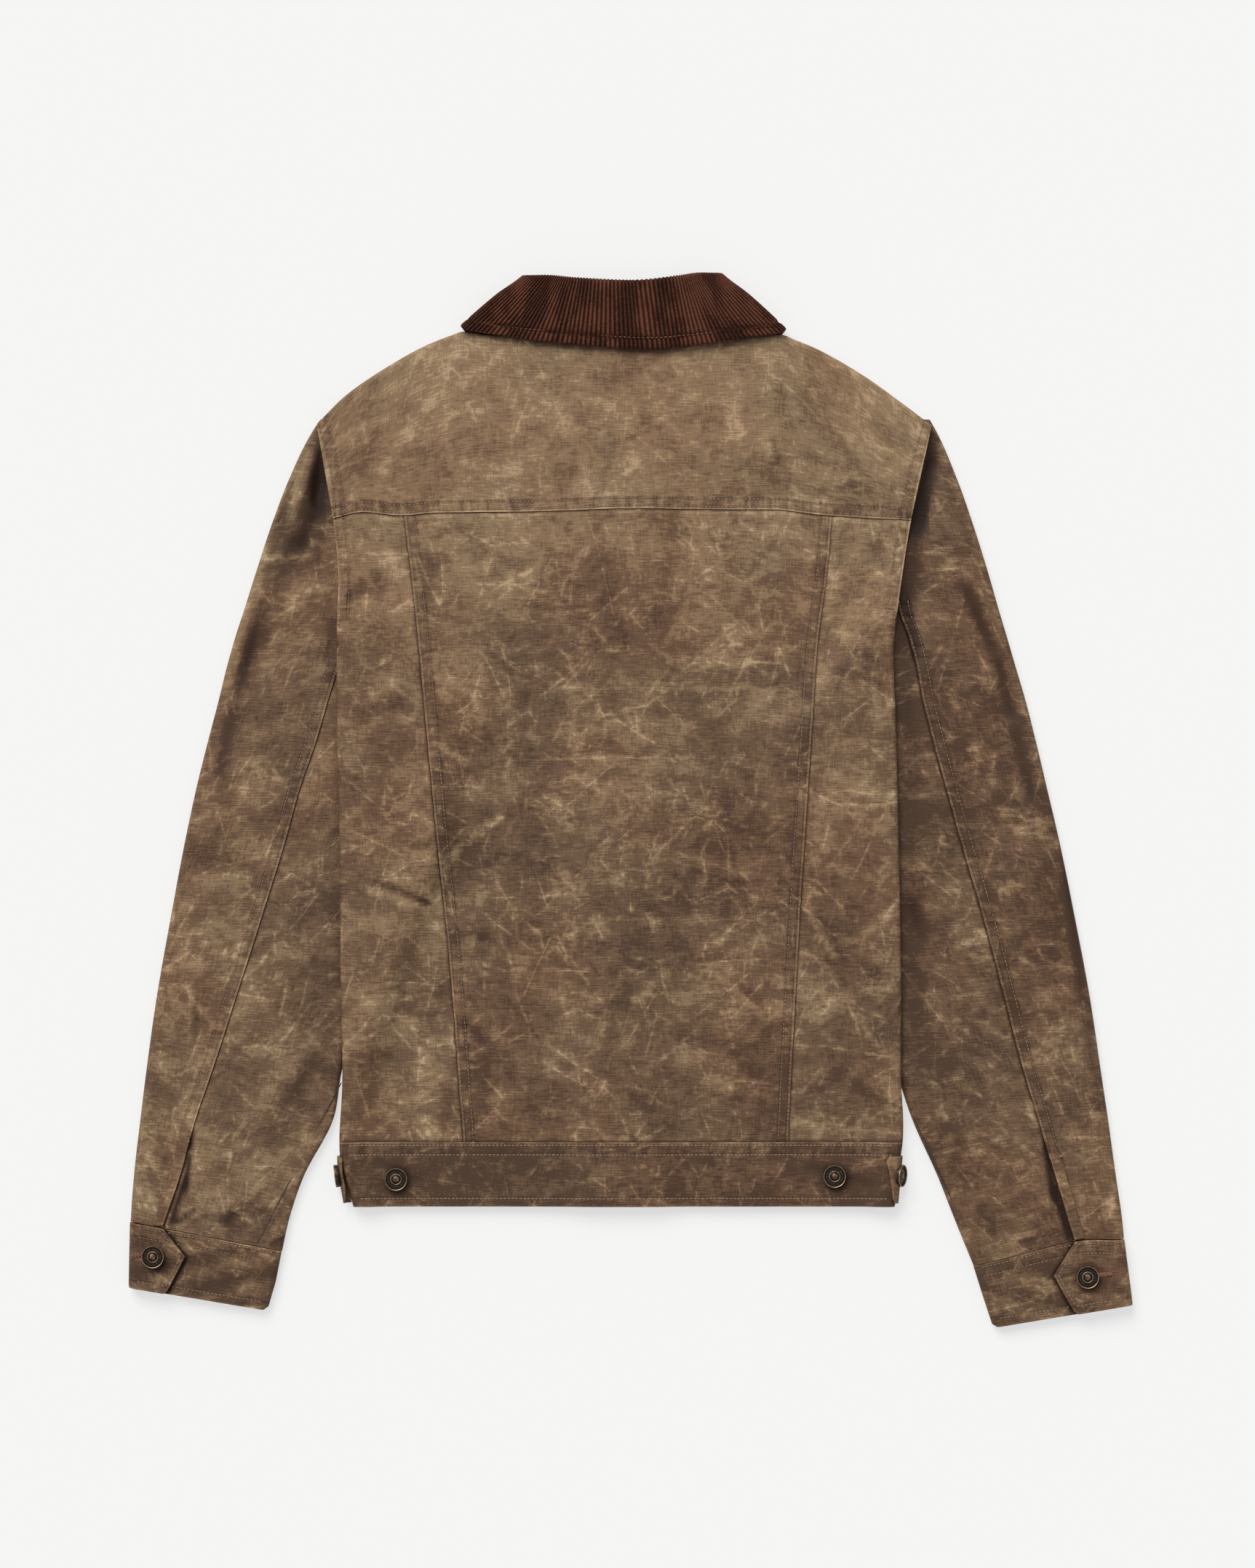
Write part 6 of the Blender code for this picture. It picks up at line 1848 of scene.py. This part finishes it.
# %% The back's seams
EDGE_ROWS = (1.6, ROWS[1])
x = np.linspace(edge_of("left", 214.0) + 3.0, edge_of("right", 212.0) - 3.0, 260)
rows = []
for d in (2.0, ROWS[1]):
    y = yoke_seam(x) - YOKE_LAP + d
    rows.append(row(x, y, yoke_z(x, y)))
rows += side_rows(edge_of, EDGE_ROWS, np.linspace(275.0, 216.0, 50), lambda side, x, y: yoke_z(x, y))
sew("yoke_stitches", rows, TAN_THREAD)
down = np.linspace(210.0, WAIST_SEAM_Y, 300)
sew("centre_stitches", side_rows(seam_of, ROWS, down, lambda side, x, y: centre_z(x, y)), TAN_THREAD)
down = np.linspace(211.0, ARMHOLE_END_Y + 8.0, 70)
sew("armhole_stitches", side_rows(edge_of, EDGE_ROWS, down, side_z), TAN_THREAD)

# %% The waistband's rows
rows = []
for level in BAND_ROWS:
    x = np.linspace(edge_of("left", level) + 7.0, edge_of("right", level) - 7.0, 240)
    rows.append(row(x, level + 0 * x, lift(x, level) + WAIST_THICK + band_relief(x, level)))
sew("waistband_stitches", rows, PALE_THREAD)

# %% The sleeves' seams and openings
PLACKET_ROWS = (1.7, 6.8)
for side in SIGN:
    rows = []
    part = np.linspace(0.0, 0.88, 400)
    start, run, length, seam = sleeve_frames(side, part)
    lap = np.minimum(seam - SEAM_GAP / 2, length)
    for d in ROWS:
        place = start + run * (lap - d)[:, None]
        z = sleeve_top(side, *place.T) + felled(np.full(len(part), d), SLEEVE_RUN * part)
        kept = (lap - sleeve_radius(part) > 26.0) & (place[:, 1] < SLEEVE_SEAM_TOP[side])
        rows.append(row(*place[kept].T, z[kept]))
    start, run, length, seam = sleeve_frames(side, np.linspace(0.89, 0.995, 40))
    for d in PLACKET_ROWS:
        place = start + run * (seam - SEAM_GAP / 2 - LAYER_GAP - d)[:, None]
        rows.append(row(*place.T, sleeve_top(side, *place.T) + LAYER_GAP + 1.25))
    tack = start[0] + run[0] * (seam[0] - lerp(0.0, 9.5, np.linspace(0, 1, 12)))[:, None]
    rows.append(across_path(with_z(tack, sleeve_top(side, *tack.T) + LAYER_GAP + 1.4), 0.7, 1.8))
    sew("sleeve_stitches_" + side, rows, TAN_THREAD)
    x, y = (np.linspace(*ends, 90) for ends in INSEAM[side])
    line = stack(x, y, sleeve_top(side, x, y) + 0.22)
    # The inseam line is a dark strip of painted shade, standing for the groove of the seam
    sew("inseam_" + side, [along_path(line, 2.0, 2.3)], SEAM_SHADOW, 0.9, 0.3)

# %% The cuffs' rows, the stitching round the point, and the buttonhole
for side in SIGN:
    rows = []
    for level in CUFF_ROWS:
        start, run, length, reach = cuff_frames(side, np.array([level]))
        reach, length = float(reach[0]), float(length[0])
        for first, last, high in ((reach + 1.0, length - 5.0, UNDER_TOP), (7.0, reach - 3.0, LAP_TOP)):
            a = np.linspace(first, last, 60)
            rows.append(row(*(start + run * a[:, None]).T, high + cuff_relief(level, a)))
    part = np.linspace(0.05, 0.87, 60)
    start, run, length, reach = cuff_frames(side, part)
    a = reach - 3.2
    rows.append(row(*(start + run * a[:, None]).T, LAP_TOP + cuff_relief(part, a)))
    sew("cuff_stitches_" + side, rows, TAN_THREAD)
    line = np.linspace(*BUTTONHOLE[side], 20)
    slit = across_path(with_z(line, np.full(20, LAP_TOP + 0.35)), 0.75, 3.2)
    sew("buttonhole_" + side, [slit], RUST_THREAD, 0.85, 0.8)

# %% The collar's row
kept = np.abs(collar_at - 7.0) < 2.97
edge_line, fold_line = collar_leaf[0][kept], collar_leaf[-1][kept]
part = (COLLAR_STITCH / np.linalg.norm(fold_line - edge_line, axis=-1))[:, None]
line = lerp(edge_line, fold_line, part)
line[:, 2] = lerp(15.6, 17.0, 0.25) + 0.9
sew("collar_stitches", [along_path(line[:: WALE_COLUMNS], 3.4, 2.2)], RUST_THREAD, 0.6, 0.4)

# %% Finish
low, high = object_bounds()
print("visual box", [round(v * 1000, 1) for v in (*low, *high)])
